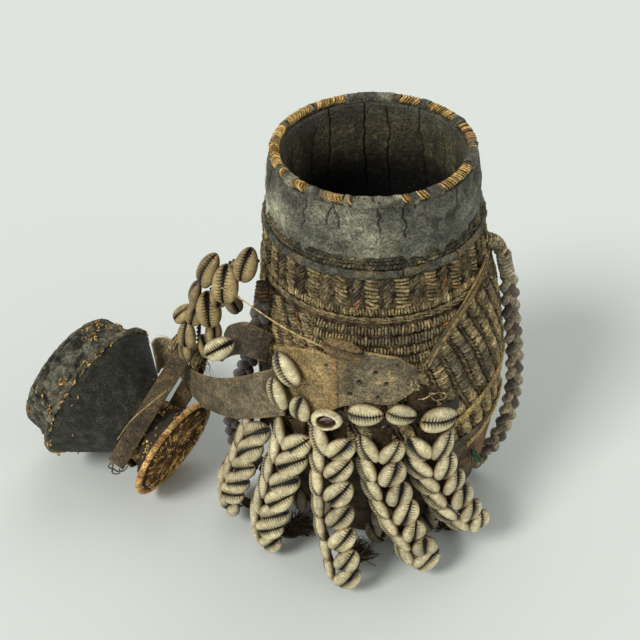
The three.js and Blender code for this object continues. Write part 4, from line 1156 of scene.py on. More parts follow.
def make_belt_and_patch():
    columns, rows = 220, 14
    azimuth = np.linspace(-78, 33, columns)[:, None]
    height = np.linspace(138.5, 147.5, rows)[None] + 0.4 * noise(on_body(azimuth, 143, 0), 9, 121)
    face = on_body(azimuth, height, 0)
    over = on_body(azimuth, height, BELT_OUT + LEATHER_THICKNESS - 0.2 + 0.3 * rough_noise(face, 5, 122))
    skin = Skin()
    skin.slab(over, on_body(azimuth, height, BELT_OUT), leather_tint(face, 123, LEATHER_DARK, LEATHER))
    piece("belt_leather", skin, LEATHER_MATERIAL, "jug", ["strand_belt"])

    columns, rows = 60, 50
    u = np.linspace(0, 1, columns)[:, None]
    v = np.linspace(0, 1, rows)[None]
    azimuth = mix(8, 21.5, u) + 0.5 * noise_along(40 * v, 3, 124) * smooth(u, 0.8, 1)
    height = mix(PATCH_BOTTOM, edge(PATCH_TOP, azimuth), v)
    face = on_body(azimuth, height, 0)
    hole = np.exp(-((np.hypot((azimuth - 19.2) * HOLE_DEGREE, height - 160.0) / 1.7) ** 4))
    relief = 0.5 * rough_noise(face, 9, 125) - 1.6 * hole
    tint = leather_tint(face, 126, HIDE * 0.65, RUST * 0.8)
    # Painted shade in the hole
    tint = blend_colour(tint, PAINTED_SHADE, hole)
    over = on_body(azimuth, height, BELT_OUT + LEATHER_THICKNESS + relief)
    skin = Skin()
    skin.slab(over, on_body(azimuth, height, BELT_OUT), tint)
    piece("patch_leather", skin, HIDE_MATERIAL, "jug", ["lower_patch"])


# Laces
def route_on_body(route, count):
    """Azimuths and heights at even distances along a route of (azimuth, height) corners."""
    line = evenly([(a * LACE_DEGREE, 0, z) for a, z in route], count)
    return line[:, 0] / LACE_DEGREE, line[:, 2]


def beside_lace(azimuth, height, shift, out):
    """The upper lace's line, moved down and to the right by about so many millimetres."""
    return on_body(azimuth + shift * 0.42, height - shift * 0.55, out)


def make_laces():
    skin = Skin()
    azimuth, height = route_on_body(LACE_ROUTE, 150)
    draw = np.random.default_rng(131)
    tones = (GOLD * 0.62, GOLD_DARK * 0.8, TAN * 0.8, CLAY * 0.8, GOLD * 0.5, BROWN * 0.8)
    for k in range(16):
        across = draw.uniform(-2.4, 2.4)
        shift = across + 0.5 * noise_along(height + 50 * k, 14, 132)
        line = beside_lace(azimuth, height, shift, 2.9 + draw.uniform(0.2, 1.7))
        start, stop = draw.integers(0, 12), 150 - draw.integers(0, 8)
        tint = tones[k % len(tones)] * draw.uniform(0.8, 1.15)
        skin.tube(line[start:stop:2], draw.uniform(0.36, 0.62), tint, 5)
    # The second, grey strand of the doubled lace
    line = beside_lace(azimuth, height, 5.2 + 0.5 * noise_along(height, 18, 133), 1.6)[::2]
    skin.tube(line, 1.5, blend_colour(CLAY, RUST, smooth(noise(line, 7, 134), 0.1, 0.6)), 8)
    piece("upper_lace_fibres", skin, GOLD_MATERIAL, "jug", ["upper_lace"])

    for i, route in enumerate(LOWER_LACES):
        skin = Skin()
        azimuth, height = route_on_body(route, 150)
        out = 1.9 if i == 0 else 2.9
        for side in (-1.3, 1.3):
            tone = [TAN * 1.1, GOLD * 0.75]
            twisted(skin, azimuth, height + side, out, 0.62, 8, 2, tone, False, 0.75, 140 + i)
        replaced = ["lower_lace"] if i == 0 else []
        piece(f"lower_lace_cords_{i + 1}", skin, GOLD_MATERIAL, "jug", replaced)


# Cowries
SHELL_LENGTH = 24.5
SHELL_WIDTH = 18.4
SHELL_HEIGHT = 9
TOOTH_PITCH = 1.95


def cowrie(size, seed, tone, worn, slim):
    """Rings and colours of a shell: long axis X, sewn back at z = 0, slit side up."""
    draw = np.random.default_rng([seed, 9])
    stations, sides = 66, 30
    angle = np.linspace(0.1, np.pi - 0.1, stations)[:, None]
    around_slit = np.arange(sides) / (sides / 2) - 1
    phi = (np.pi * np.sign(around_slit) * np.abs(around_slit) ** 1.5)[None]
    x, girth = np.cos(angle), np.sin(angle) ** 0.92
    plump = draw.uniform(0.93, 1.06)
    lean = draw.uniform(-0.08, 0.08)
    y = girth * np.sin(phi) * (1 - 0.15 * x) * plump
    top = np.sign(np.cos(phi)) * np.abs(np.cos(phi)) ** 0.85
    z = 0.38 + np.where(top > 0, 0.62, 0.38) * top * girth * (1 + lean * np.sign(phi))
    points = np.stack([x * SHELL_LENGTH / 2 + 0 * phi, y * SHELL_WIDTH / 2, z * SHELL_HEIGHT], axis=-1)
    points[..., 2] += 0.35 * noise(points + 31 * seed, 8, seed)
    length, across = points[..., 0], points[..., 1]
    bow = draw.uniform(0.2, 1.1)
    offset = across - bow * (1 - (length / 12) ** 2)
    far = np.abs(offset)
    upper = smooth(np.cos(phi) + 0 * x, -0.05, 0.3)
    open_share = upper * (1 - 0.6 * smooth(np.abs(length), 10.2, 12.2))
    gape = mix(0.6, draw.uniform(1.2, 1.7), smooth(length * draw.choice([-1, 1]), -5, 11))
    slit = np.exp(-((far / gape) ** 2)) * open_share
    valley = np.exp(-((far / 3.2) ** 2)) * open_share
    side_reach = np.where(offset > 0, draw.uniform(2.8, 4.2), draw.uniform(2.1, 3.2))
    wave = 0.5 + 0.5 * np.cos(TURN * (length + draw.uniform(0, 1)) / TOOTH_PITCH + 0.22 * across)
    near = np.exp(-((np.maximum(far - 0.8 * gape, 0) / side_reach) ** 2)) * upper
    teeth = wave**1.3 * near * (1 - smooth(np.abs(length), 9.8, 11.6))
    points[..., 2] -= 2.6 * slit + 1.1 * valley + 0.6 * teeth
    dirt = 0.5 + 0.5 * rough_noise(points + 57 * seed, 5, seed + 1)
    height = points[..., 2] / SHELL_HEIGHT
    # Painted highlight on the slit side; the lower flanks take the tan margin, partly the shell's own stain
    # and partly painted shade, plus dirt
    margin = 1 - smooth(height, 0.3, 0.78)
    tint = blend_colour(tone * 0.9, tone * [1.06, 1.03, 0.96], smooth(np.cos(phi) + 0 * x, 0.4, 1))
    tint = blend_colour(tint, SHELL_EDGE, np.clip(0.85 * margin + 0.8 * worn * (dirt - 0.3), 0, 1))
    tint = blend_colour(tint, SHELL_EDGE * 0.85, 0.7 * smooth(np.abs(length), 9, 12) * (0.4 + 0.6 * dirt))
    # Painted contact shadow round the shell's foot, where it meets the strip and its neighbours
    tint = blend_colour(tint, SHELL_CONTACT_SHADE * 0.5, 1 - smooth(height, 0.12, 0.55))
    tint = blend_colour(tint, OCHRE * 0.7, 0.5 * near * (0.3 + 0.7 * dirt))
    # Painted shade in the grooves between the teeth, stronger where the shell is dirtier
    tint = blend_colour(tint, TOOTH_GROOVE_SHADE, np.clip(1.7 * teeth * (0.6 + 0.4 * dirt), 0, 0.97))
    # Painted shade in the slit
    tint = blend_colour(tint, SLIT_SHADE, np.clip(np.exp(-((far / (1.3 * gape)) ** 2)) * open_share * 1.6, 0, 1))
    return points * size * [1, slim, 1], tint * draw.uniform(0.84, 1.1)


def laid(points, place, along, normal):
    """Turns a shell so that its long axis lies along a direction and its slit side faces a normal."""
    z = unit(np.asarray(normal, float))
    along = np.asarray(along, float)
    x = unit(along - z * along.dot(z))
    return points @ np.stack([x, np.cross(z, x), z]) + place


def add_cowrie(skin, place, along, normal, size, seed, tone=IVORY, worn=0.5, slim=1.0):
    points, tint = cowrie(size, seed, tone, worn, slim)
    skin.rings(laid(points, place, along, normal), tint)


# Strands of cowries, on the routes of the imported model
STRANDS = [
    {
        "line": [(-63, 93, 103), (-63, 103, 80), (-65, 112, 54), (-69, 116, 32)],
        "facing": -68, "spread": 26, "drop": 39, "rows": 6, "slant": 42, "pitch": 16,
    },
    {
        "line": [(-42, 90, 110), (-43, 100, 84), (-45.5, 106, 56), (-48.5, 109, 32)],
        "facing": -54, "spread": 32, "drop": 25, "rows": 7, "slant": 42, "pitch": 16,
    },
    {
        "line": [(-22.6, 89.5, 110), (-21, 97, 86), (-18.5, 105, 58), (-15.5, 110, 32)],
        "facing": -42, "spread": 36, "drop": 14, "rows": 7, "slant": 37, "pitch": 17.6,
    },
    {
        "line": [(-2.6, 88.5, 110), (1.3, 91, 86), (6.5, 95, 58), (13.5, 98, 32)],
        "facing": -22, "spread": 32, "drop": 14, "rows": 7, "slant": 28, "pitch": 17.6,
    },
    {
        "line": [(17.6, 88.5, 110), (23, 90, 86), (30.5, 94, 56), (38.5, 97, 32)],
        "facing": 2, "spread": 32, "drop": 16, "rows": 6, "slant": 31, "pitch": 17.6,
    },
]
STRAND_TOP = 137.5
STRAND_TURN = 0.32
STRAND_BEND = 16
TOP_SPREAD = 12
TOP_ROW_OFFSET = 6.6
ROW_OFFSET = 8.0
STRIP_WIDTH = 13
STRIP_THICKNESS = 2.2
FLOOR_CLEARANCE = 1.4


def strand_line(strand):
    azimuth = strand["line"][0][0]
    foot, swell = strand["line"][-1][:2]
    top = (azimuth, body_radius(STRAND_TOP) + GAP + STRIP_THICKNESS / 2, STRAND_TOP)
    tail = [
        (foot, swell - 1, STRAND_BEND + 3),
        (foot, swell - 7, STRAND_BEND - 6),
        (foot, swell - 14, STRIP_THICKNESS * 1.5),
        (foot, swell - 23, FLOOR_CLEARANCE + STRIP_THICKNESS / 2),
    ]
    stations = [top, *strand["line"], *tail]
    return centripetal([radial(a) * r + [0, 0, z] for a, r, z in stations], 60)


def strand_across(strand, share):
    return tangential(mix(strand["line"][0][0], strand["facing"], smooth(share, -0.12, STRAND_TURN)))


def make_strand(number, strand):
    body = f"strand_{number}"
    line = strand_line(strand)
    total = lengths(line)[-1]
    draw = np.random.default_rng(200 + number)
    skin = Skin()
    for row in range(strand["rows"]):
        share = (strand["drop"] + row * strand["pitch"]) / total
        centre = at_share(line, share)
        down = unit(at_share(line, share + 0.004) - at_share(line, share - 0.004))
        across = strand_across(strand, share)
        ridge = unit(np.cross(down, across))
        roundness = smooth(share, -0.12, STRAND_TURN)
        turn = np.radians(mix(TOP_SPREAD, strand["spread"], roundness))
        offset = mix(TOP_ROW_OFFSET, ROW_OFFSET, roundness**2 if row < strand["rows"] - 1 else 0)
        lift = STRIP_THICKNESS / 2 + GAP + np.sin(turn) * SHELL_WIDTH / 2
        for hand in (-1, 1):
            normal = ridge * np.cos(turn) + across * hand * np.sin(turn)
            inward = unit(np.cross(down, normal) * hand)
            slant = np.radians(strand["slant"] + draw.uniform(-7, 7))
            along = -(down * np.cos(slant) + inward * np.sin(slant))
            place = centre + across * hand * (offset + draw.uniform(-0.2, 0.3)) + ridge * (lift + 0.5 * hand)
            tilted = unit(normal + 0.12 * draw.uniform(-1, 1) * down + 0.07 * draw.uniform(-1, 1) * across)
            tone = 1.16 * blend_colour(IVORY, IVORY_GREY, draw.uniform(0, 0.45) if number > 1 else 0.6)
            seed = 300 + 40 * number + 2 * row + (hand > 0)
            add_cowrie(skin, place, along, tilted, draw.uniform(0.94, 1.0), seed, tone)
    piece(f"cowrie_strand_{number}", skin, SHELL_MATERIAL, body, [f"{body}_shells"])

    columns, rows = 70, 12
    share = np.linspace(0, 1, columns)
    centre = at_share(line, share)
    along = unit(np.gradient(centre, axis=0))
    across = unit(strand_across(strand, share))
    ridge = unit(np.cross(along, across))
    width = (np.linspace(-0.5, 0.5, rows) * STRIP_WIDTH)[None, :, None]
    edges = 1 + 0.06 * noise(centre, 5, 210 + number)[:, None, None]
    face = centre[:, None] + across[:, None] * width * edges
    relief = (0.2 * rough_noise(face, 5, 220))[..., None]
    over = face + ridge[:, None] * (STRIP_THICKNESS / 2 + relief)
    under = face - ridge[:, None] * STRIP_THICKNESS / 2
    skin = Skin()
    skin.slab(over, under, leather_tint(face, 221 + number, HIDE * 0.6, HIDE))
    # Threads that tie the shells down, and the ragged tail at the foot
    for row in range(strand["rows"]):
        share = (strand["drop"] + (row + 0.5) * strand["pitch"]) / total
        middle = at_share(line, share)
        side = strand_across(strand, share)
        out = unit(np.cross(unit(at_share(line, share + 0.004) - middle), side))
        reach = np.linspace(-6, 6, 9)[:, None]
        arch = 1.8 + 2.6 * (1 - (reach / 6) ** 2)
        skin.tube(middle + side * reach + out * arch, 0.75, HIDE * 0.8, 5)
    end, back = centre[-1], unit(centre[-1] - centre[-4])
    side = across[-1]
    for _ in range(170):
        start = end - back * draw.uniform(1, 9) + side * draw.uniform(-6, 6) + [0, 0, draw.uniform(0.2, 2.5)]
        heading = unit(back + side * draw.uniform(-0.9, 0.9) + [0, 0, draw.uniform(-0.1, 0.7)])
        length, radius = draw.uniform(8, 20), draw.uniform(0.35, 0.9)
        fibre(skin, start, heading, length, radius, WOOL_DARK * draw.uniform(0.8, 4.5), draw)
    piece(f"strip_strand_{number}", skin, HIDE_MATERIAL, body, [f"{body}_strip"])


def fibre(skin, start, heading, length, radius, tint, draw, droop=0.35, floor=0.7):
    """A loose fibre that wanders, droops a little and never sinks below the floor."""
    points = [np.asarray(start, float)]
    heading = np.asarray(heading, float)
    steps = 6
    for _ in range(steps):
        heading = unit(heading + draw.uniform(-0.35, 0.35, 3) + [0, 0, -droop / 2])
        point = points[-1] + heading * length / steps
        point[2] = max(point[2], floor)
        points.append(point)
    skin.tube(evenly(points, 9), radius * np.linspace(1, 0.5, 9), tint, 4)


# Single cowries on the band and belt: name, azimuth, height, distance out, turn, size, colour
BAND_FACE = BAND_OUT + LEATHER_THICKNESS + GAP
BELT_FACE = BELT_OUT + LEATHER_THICKNESS + GAP
SEWN_COWRIES = [
    ("hanging_cowrie_1", -44.5, 172, BAND_FACE, 128, 1.1, IVORY * 1.05),
    ("hanging_cowrie_2", -48, 150, BAND_FACE + 2.5, 105, 1.05, IVORY),
    ("hanging_cowrie_3", -37, 146, BAND_FACE + 1, 82, 0.9, IVORY * 0.95),
    ("band_cowrie_1", -9.5, 153, BELT_FACE + 1, 2, 0.95, IVORY),
    ("band_cowrie_2", 5, 152, BELT_FACE + 1, -22, 0.85, IVORY * 0.95),
    ("band_cowrie_3", 20, 145, BELT_FACE + 3, -12, 1.1, IVORY * 1.05),
]


def make_sewn_cowries():
    for k, (name, azimuth, height, out, turn, size, tone) in enumerate(SEWN_COWRIES):
        place = on_body(azimuth, height, out)
        skin = Skin()
        add_cowrie(skin, place, turned(azimuth, turn), radial(azimuth), size, 500 + k, tone)
        piece(f"{name}_shell", skin, SHELL_MATERIAL, "jug", [name])


# Shells glimpsed between the strands: azimuth, height, turn. Their dim grey is partly painted shade.
GLIMPSED_SHELLS = [
    (-33, 44, 70), (-30, 27, 120), (-36, 18, 60), (-2, 40, 100), (0, 24, 75), (-5, 14, 120), (26, 52, 95),
    (28, 34, 70), (24, 18, 110), (-57, 36, 80), (-54, 20, 110),
]


def make_glimpsed_shells():
    skin = Skin()
    for k, (azimuth, height, turn) in enumerate(GLIMPSED_SHELLS):
        place = on_body(azimuth, height, 3.2)
        facing = radial(azimuth) + [0, 0, 0.3]
        # A dimmed grey, partly painted shade
        add_cowrie(skin, place, turned(azimuth, turn), facing, 0.86, 900 + k, IVORY_GREY * 0.8, 0.9)
    piece("boot_shells", skin, SHELL_MATERIAL, "jug")


def make_ring_cowrie():
    """A cowrie whose back is cut open, so that it shows as a ring whose inside is painted dark with shade."""
    azimuth, height, size = -25.5, 144, 0.9
    # The inner stations, dark brown to black, are painted shade inside the hollow, and the slit colour on the
    # back is painted shade too
    stations = [
        (0.15, 0.0, SLIT_SHADE), (0.7, 0.05, SHELL_EDGE), (0.93, 0.25, IVORY), (1.0, 0.5, IVORY),
        (0.97, 0.75, IVORY), (0.86, 0.93, IVORY), (0.74, 1.0, IVORY * 1.1), (0.66, 0.97, IVORY),
        (0.6, 0.85, SHELL_EDGE), (0.56, 0.6, DARK_BROWN), (0.4, 0.32, PAINTED_SHADE), (0.12, 0.28, PAINTED_SHADE),
    ]
    turn = np.linspace(0, TURN, 40, endpoint=False)
    rings, tints = [], []
    for scale, rise, tone in stations:
        x = scale * 12 * size * np.cos(turn) + 0.8 * rise
        y = scale * 8 * size * np.sin(turn) * (1 - 0.12 * np.cos(turn))
        ring = np.stack([x, y, np.full(40, rise * 9.5 * size)], axis=-1)
        ring = ring + 0.3 * noise(ring, 5, 511)[:, None]
        rings.append(ring)
        tints.append(blend_colour(tone, SHELL_EDGE, 0.35 * smooth(noise(ring, 3, 512), 0, 0.8)))
    seat = (on_body(azimuth, height, BAND_FACE), turned(azimuth, 10), radial(azimuth) + [0.15, 0, 0.25])
    skin = Skin()
    skin.rings(laid(np.stack(rings), *seat), np.stack(tints))
    core = np.array([[-5.5, -1, 5], [-2, 0.5, 4.6], [2, 0.8, 4.4], [5.5, -0.5, 4.6]]) * size
    line = evenly(laid(core, *seat), 12)
    skin.tube(line, 1.5 * np.sin(np.linspace(0.4, 2.7, 12)), srgb(150, 120, 110), 8)
    piece("ring_cowrie_shell", skin, SHELL_MATERIAL, "jug", ["ring_cowrie"])


# Tether: wide strap, cord and cowries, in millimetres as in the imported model
STRAP_ROWS = 40


def flat_strap(line, across, width, seed, bulge=0.0, base=LEATHER, worn=LEATHER_TAN):
    """The skin of a leather strap along a line. across is the way its width lies."""
    along = unit(np.gradient(line, axis=0))
    across = unit(np.broadcast_to(across, line.shape))
    normal = unit(np.cross(along, across))
    v = np.linspace(-0.5, 0.5, STRAP_ROWS)
    face = line[:, None] + across[:, None] * (np.asarray(width)[:, None] * v)[..., None]
    relief = 0.35 * rough_noise(face, 14, seed) + bulge * (1 - (2 * v[None]) ** 2)
    shift = normal[:, None] * relief[..., None]
    rim = smooth(np.abs(2 * v)[None] + 0 * relief, 0.9, 1)
    tint = blend_colour(leather_tint(face, seed + 1, base, worn), worn, 0.45 * rim)
    half = normal[:, None] * LEATHER_THICKNESS / 2
    skin = Skin()
    skin.slab(face + shift - half, face + shift + half, tint)
    return skin


STRAP_POINTS = [
    (-87, -49, 133), (-106, -34, 117), (-124, -13, 102), (-138, 8, 93), (-146.5, 22, 93), (-153, 37, 92),
    (-160, 45, 92), (-167, 43, 93), (-169, 36, 94),
]
CORD_POINTS = [
    tuple(TETHER_HIGH), (-86, -23, 230), (-98, -15, 222), (-108, -8, 205), (-118, -1, 183), (-127, 7, 156),
    (-130, 11, 136), (-131, 12.5, 123),
]
# Shells on the cord: place, long axis, facing, size, colour
CORD_COWRIES = [
    ((-86.5, -28, 230.5), (0.25, 0, 1), (-0.3, -0.9, 0.4), 1.0, OCHRE),
    ((-101.5, -24.5, 213.5), (0.08, 0, 1), (-0.2, -0.9, 0.3), 1.15, OCHRE * 1.1),
    ((-112, -4, 207.5), (0.45, 0.1, 1), (-0.75, -0.5, 0.5), 1.1, OCHRE * 0.95),
    ((-123, -1, 185), (0.25, 0, 1), (-0.95, -0.2, 0.3), 0.95, OCHRE * 0.8),
    ((-117, -11, 181.5), (0, 0, 1), (0, -0.95, 0.3), 1.1, OCHRE * 1.05),
    ((-136, 5, 163), (0.9, 0.2, 0.4), (-0.5, -0.5, 0.7), 0.75, OCHRE * 0.9),
    ((-135, 1, 149), (0.05, 0, 1), (-0.35, -0.9, 0.2), 0.9, OCHRE),
    ((-119, 3, 149.5), (0.15, 0, 1), (0.5, -0.8, 0.2), 0.8, OCHRE * 1.05),
    ((-137.5, 7, 130.5), (-0.5, 0, 1), (-0.7, -0.6, 0.3), 0.8, OCHRE * 0.9),
]
# Shells squeezed in between the others
SMALL_CORD_COWRIES = [
    ((-94, -18, 219), (0.6, 0.1, 0.8), (0.1, -0.8, 0.5), 0.8, OCHRE * 0.7),
    ((-109, -13, 196), (0.3, 0, 1), (0.3, -0.8, 0.4), 0.85, OCHRE * 0.75),
    # Dimmed grey: painted shade for a shell that sits behind the others
    ((-101, -16, 190), (-0.4, 0, 1), (0.4, -0.8, 0.3), 0.75, IVORY_GREY * 0.6),
    ((-127, -2, 171), (0.35, 0, 1), (-0.2, -0.9, 0.3), 0.85, OCHRE * 0.85),
    ((-124, 0, 138), (-0.2, 0, 1), (0.2, -0.9, 0.3), 0.8, OCHRE * 0.8),
]
CORD_RADIUS = 1.8
CORD_PITCH = 9


def make_tether_cord():
    """Two strands plied round the cord's line, and the shells that hang on it."""
    cord_line = evenly(CORD_POINTS, 150)
    along = lengths(cord_line)
    _, side, up = frames(cord_line)
    thin = CORD_RADIUS / 2
    skin = Skin()
    for k, tone in enumerate((LEATHER_DARK, HIDE * 0.8)):
        turn = TURN * (along / CORD_PITCH + k / 2)
        ply = coiled(cord_line, side, up, turn, CORD_RADIUS - thin)
        skin.tube(ply, thin, blend_colour(tone * 0.7, tone * 1.2, smooth(noise(ply, 5), -0.6, 0.6)), 7)
    made = piece("tether_cord_plied", skin, FIBRE_MATERIAL, "tether", ["tether_cord"])
    for k, (place, along, facing, size, tone) in enumerate(CORD_COWRIES):
        skin = Skin()
        add_cowrie(skin, place, along, facing, size, 530 + k, tone * 0.92, 1.0, 0.84)
        name = f"tether_cowrie_{k + 1}"
        piece(f"{name}_shell", skin, SHELL_MATERIAL, "tether", [name])
    skin = Skin()
    for k, (place, along, facing, size, tone) in enumerate(SMALL_CORD_COWRIES):
        add_cowrie(skin, place, along, facing, size, 580 + k, tone, 1.0, 0.84)
    piece("tether_cowries_small", skin, SHELL_MATERIAL, "tether")


def make_tether_strap():
    root = TETHER_LOW - tangential(TETHER_AZIMUTH)
    line = evenly([root, *STRAP_POINTS], 160)
    width = mix(35, 25, np.minimum(1, 1.4 * np.linspace(0, 1, 160)))
    skin = flat_strap(line, TETHER_AXIS, width, 541)
    piece("tether_strap_leather", skin, LEATHER_MATERIAL, "tether", ["tether_strap"])


FLAP_POINTS = [(-76, -47, 174), (-84, -48, 180), (-93, -45, 182), (-103, -41, 176), (-108, -37, 168)]


def make_flap():
    line = evenly(FLAP_POINTS, 60)
    share = np.linspace(0, 1, 60)
    width = mix(20, 27, share) * (1 - 0.25 * smooth(share, 0.85, 1))
    across = np.array([0.25, 0.35, 0.9])
    skin = flat_strap(line, across, width, 551, 0.8, LEATHER_DARK * 1.6, LEATHER_TAN * 0.8)
    piece("side_flap_leather", skin, LEATHER_MATERIAL, "jug", ["side_flap"])
    skin = Skin()
    place, along, facing = (-107.5, -47, 177), (0.8, -0.1, 0.55), (-0.25, -0.85, 0.45)
    add_cowrie(skin, place, along, facing, 0.95, 555, IVORY * 1.05, 0.5, 0.86)
    piece("flap_cowrie_shell", skin, SHELL_MATERIAL, "jug", ["flap_cowrie"])


SCRAP_BROWN = srgb(122, 100, 66)


def make_tab():
    """A folded scrap of leather that lies on the band's top edge."""
    azimuth, height = -18.0, 202
    place = on_body(azimuth, height, 2.2 + 6.5)
    angle = np.linspace(0.12, np.pi - 0.12, 44)[:, None]
    phi = turns(44)[None]
    girth = np.sin(angle) ** 0.6
    points = np.stack([
        13.5 * np.cos(angle) + 0 * phi, 7.6 * girth * np.cos(phi), 4.6 * girth * np.sin(phi),
    ], axis=-1)
    points[..., 1] *= 1 - 0.35 * smooth(-points[..., 0], 2, 13)
    fold_line = points[..., 1] - 2.2 - 0.12 * points[..., 0]
    fold = np.exp(-((fold_line / 0.9) ** 2)) * (points[..., 2] > 0)
    points[..., 2] -= 2.2 * fold
    points[..., 2] += 1.3 * smooth(-fold_line, 0, 3) * (points[..., 2] > 0)
    points = points * (1 + 0.12 * rough_noise(points, 6, 561))[..., None]
    face = laid(points, place, tangential(azimuth) + [0, 0, -0.32], radial(azimuth))
    tint = leather_tint(face, 562, SCRAP_BROWN, LEATHER_TAN * 0.9)
    # Painted shade in the fold's crease
    tint = blend_colour(tint, DARK_BROWN * 0.6, 0.85 * fold)
    skin = Skin()
    skin.rings(face, tint)
    piece("leather_scrap", skin, LEATHER_MATERIAL, "jug", ["leather_tab"])


# Rope handles: three woolly strands in a plait
RIGHT_ROPE = [
    (80.8, -8, 217), (82.5, -7.5, 208), (86, -6.5, 195), (89, -5, 176), (93, -5, 150),
    (97, -5, 120), (98.5, -5, 92), (97, -5, 64), (91, -5, 38), (83, -5, 20),
]
LEFT_ROPE = [
    (-80, -36, 205), (-82, -37, 192), (-86, -34, 170), (-93, -26, 143), (-103, -17, 112),
    (-109, -12, 82), (-110, -9, 56), (-105, -7, 34), (-94, -5, 16),
]
LASHINGS = {
    "right_top_lashing": [
        (79, -8.5, 218.5), (77, -9.5, 223.5), (73, -11, 228.5), (67, -12.5, 232), (60, -13, 233),
    ],
    "right_foot_lashing": [(81, -5, 17), (77, -5, 10), (73.5, -5, 6.5)],
    "left_top_lashing": [(-79.6, -35.8, 207.5), (-78.6, -35, 213), (-77.4, -33.5, 219)],
    "left_foot_lashing": [(-91.5, -4.8, 13.5), (-84, -4.5, 8), (-74.5, -4, 6)],
}
PLAIT_PITCH = 36
PLAIT_THICK = 3.0


def make_rope(name, points, wrapped, tones, seed):
    line = evenly(points, 420)
    along = lengths(line)
    _, up, side = frames(line)
    skin = Skin()
    draw = np.random.default_rng(seed)
    free = smooth(along, wrapped - 4, wrapped + 6)[:, None]
    for k in range(3):
        phase = TURN * (along / PLAIT_PITCH + k / 3)
        sway = 3.7 * np.sin(phase)[:, None] * mix(0.35, 1, free)
        weave = 2.3 * np.sin(2 * phase)[:, None] * mix(0.35, 1, free)
        path = line + side * sway + up * weave
        fluff = 1 + 0.14 * noise(path, 4.5, seed + k) + 0.07 * noise(path, 1.4, seed + 9)
        wool = PLAIT_THICK * fluff * mix(0.75, 1, free[:, 0])
        tint = blend_colour(tones[k] * 0.65, tones[k] * 1.2, smooth(noise(path, 6, seed + 3 * k), -0.7, 0.5))
        skin.tube(path[::2], wool[::2], tint[::2], 10)
    # A close winding round the top of the plait
    if wrapped:
        last = int(np.searchsorted(along, wrapped))
        fine = at_share(line[: last + 1], np.linspace(0, 1, 900))
        _, side, up = frames(fine)
        turn = TURN * lengths(fine) / 3.0
        path = coiled(fine, side, up, turn, 3.9)
        tint = blend_colour(tones[0] * 0.7, tones[0] * 1.15, smooth(noise(path, 5, seed + 31), -0.6, 0.6))
        skin.tube(path, 1.35, tint, 7)
    for _ in range(70):
        at = draw.integers(8, 410)
        heading = unit(side[min(at, len(side) - 1)] * draw.uniform(-1, 1) + draw.uniform(-0.6, 0.6, 3))
        fibre(skin, line[at] + heading * 3.6, heading, draw.uniform(2.5, 5), 0.16, tones[at % 3], draw, 0.1)
    made = piece(f"{name}_plait", skin, WOOL_MATERIAL, name, [name])
    path = line * MM


def make_lashings():
    for k, (name, points) in enumerate(LASHINGS.items()):
        line = evenly(points, 160)
        _, side, up = frames(line)
        turn = TURN * lengths(line) / 2.6
        skin = Skin()
        tone = HIDE * 0.55 if "left" in name else WOOL * 0.75
        # Painted shade: the core under the windings is their own colour at half brightness
        skin.tube(line, 3.3, tone * 0.5, 10)
        path = coiled(line, side, up, turn, 3.6)
        tint = blend_colour(tone * 0.8, tone * 1.6, smooth(noise(path, 4, 571 + k), -0.5, 0.6))
        skin.tube(path, 1.25, tint, 6)
        piece(f"{name}_twine", skin, FIBRE_MATERIAL, "jug", [name])


# Lid, in its own frame: X towards the knot, Y to the back, Z along its axis
LID_TILT = np.radians(17.5)
LID_HEADING = np.radians(145)
LID_AXIS = unit(np.array([
    np.cos(LID_TILT) * np.cos(LID_HEADING), np.cos(LID_TILT) * np.sin(LID_HEADING), np.sin(LID_TILT),
]))
LID_SIDE = unit(np.array([LID_AXIS[1], -LID_AXIS[0], 0]))
LID_UP = unit(np.cross(LID_SIDE, LID_AXIS))
KNOT_ANGLE = np.radians(52)
TO_KNOT = LID_SIDE * np.cos(KNOT_ANGLE) + LID_UP * np.sin(KNOT_ANGLE)
TO_BACK = unit(np.cross(LID_AXIS, TO_KNOT))
# The lid stands on the golden rim of its foot
FOOT_RIM_RADIUS = 40.6
FOOT_RIM_DEPTH = 23.7
FOOT_RIM_HALF = 2.4
LID_CENTRE = np.array([
    -175.9, 5.5, FOOT_RIM_RADIUS * np.cos(LID_TILT) + FOOT_RIM_HALF + FOOT_RIM_DEPTH * np.sin(LID_TILT),
])
LID_FRAME = np.stack([TO_KNOT, TO_BACK, LID_AXIS])
SHOULDER = 52.5
FOOT_GOLD = srgb(250, 208, 138)
FOOT_GOLD_DARK = srgb(206, 150, 84)
DISC_GOLD = srgb(244, 196, 122)
DISC_BROWN = srgb(104, 74, 40)


def on_lid(points):
    return np.asarray(points, float) @ LID_FRAME + LID_CENTRE


def lid_outward(turn):
    return np.stack([np.cos(turn), np.sin(turn), 0 * turn], axis=-1)


def lid_rings(profile, columns):
    """Rings of revolution round the lid's axis. profile is a list of (radius, height)."""
    turn = turns(columns)
    return np.stack([
        np.stack([r * np.cos(turn), r * np.sin(turn), np.zeros(columns) + z], axis=-1) for r, z in profile
    ])


LID_HEIGHTS = [-21.1, -13, -8, 7, 20, 37, 49.8, 50.1, 54.9, 77.7]
LID_RADII = [38, 29.5, 25.5, 25.5, 35.5, 47.9, 56.6, 53.9, 52.5, 49.5]


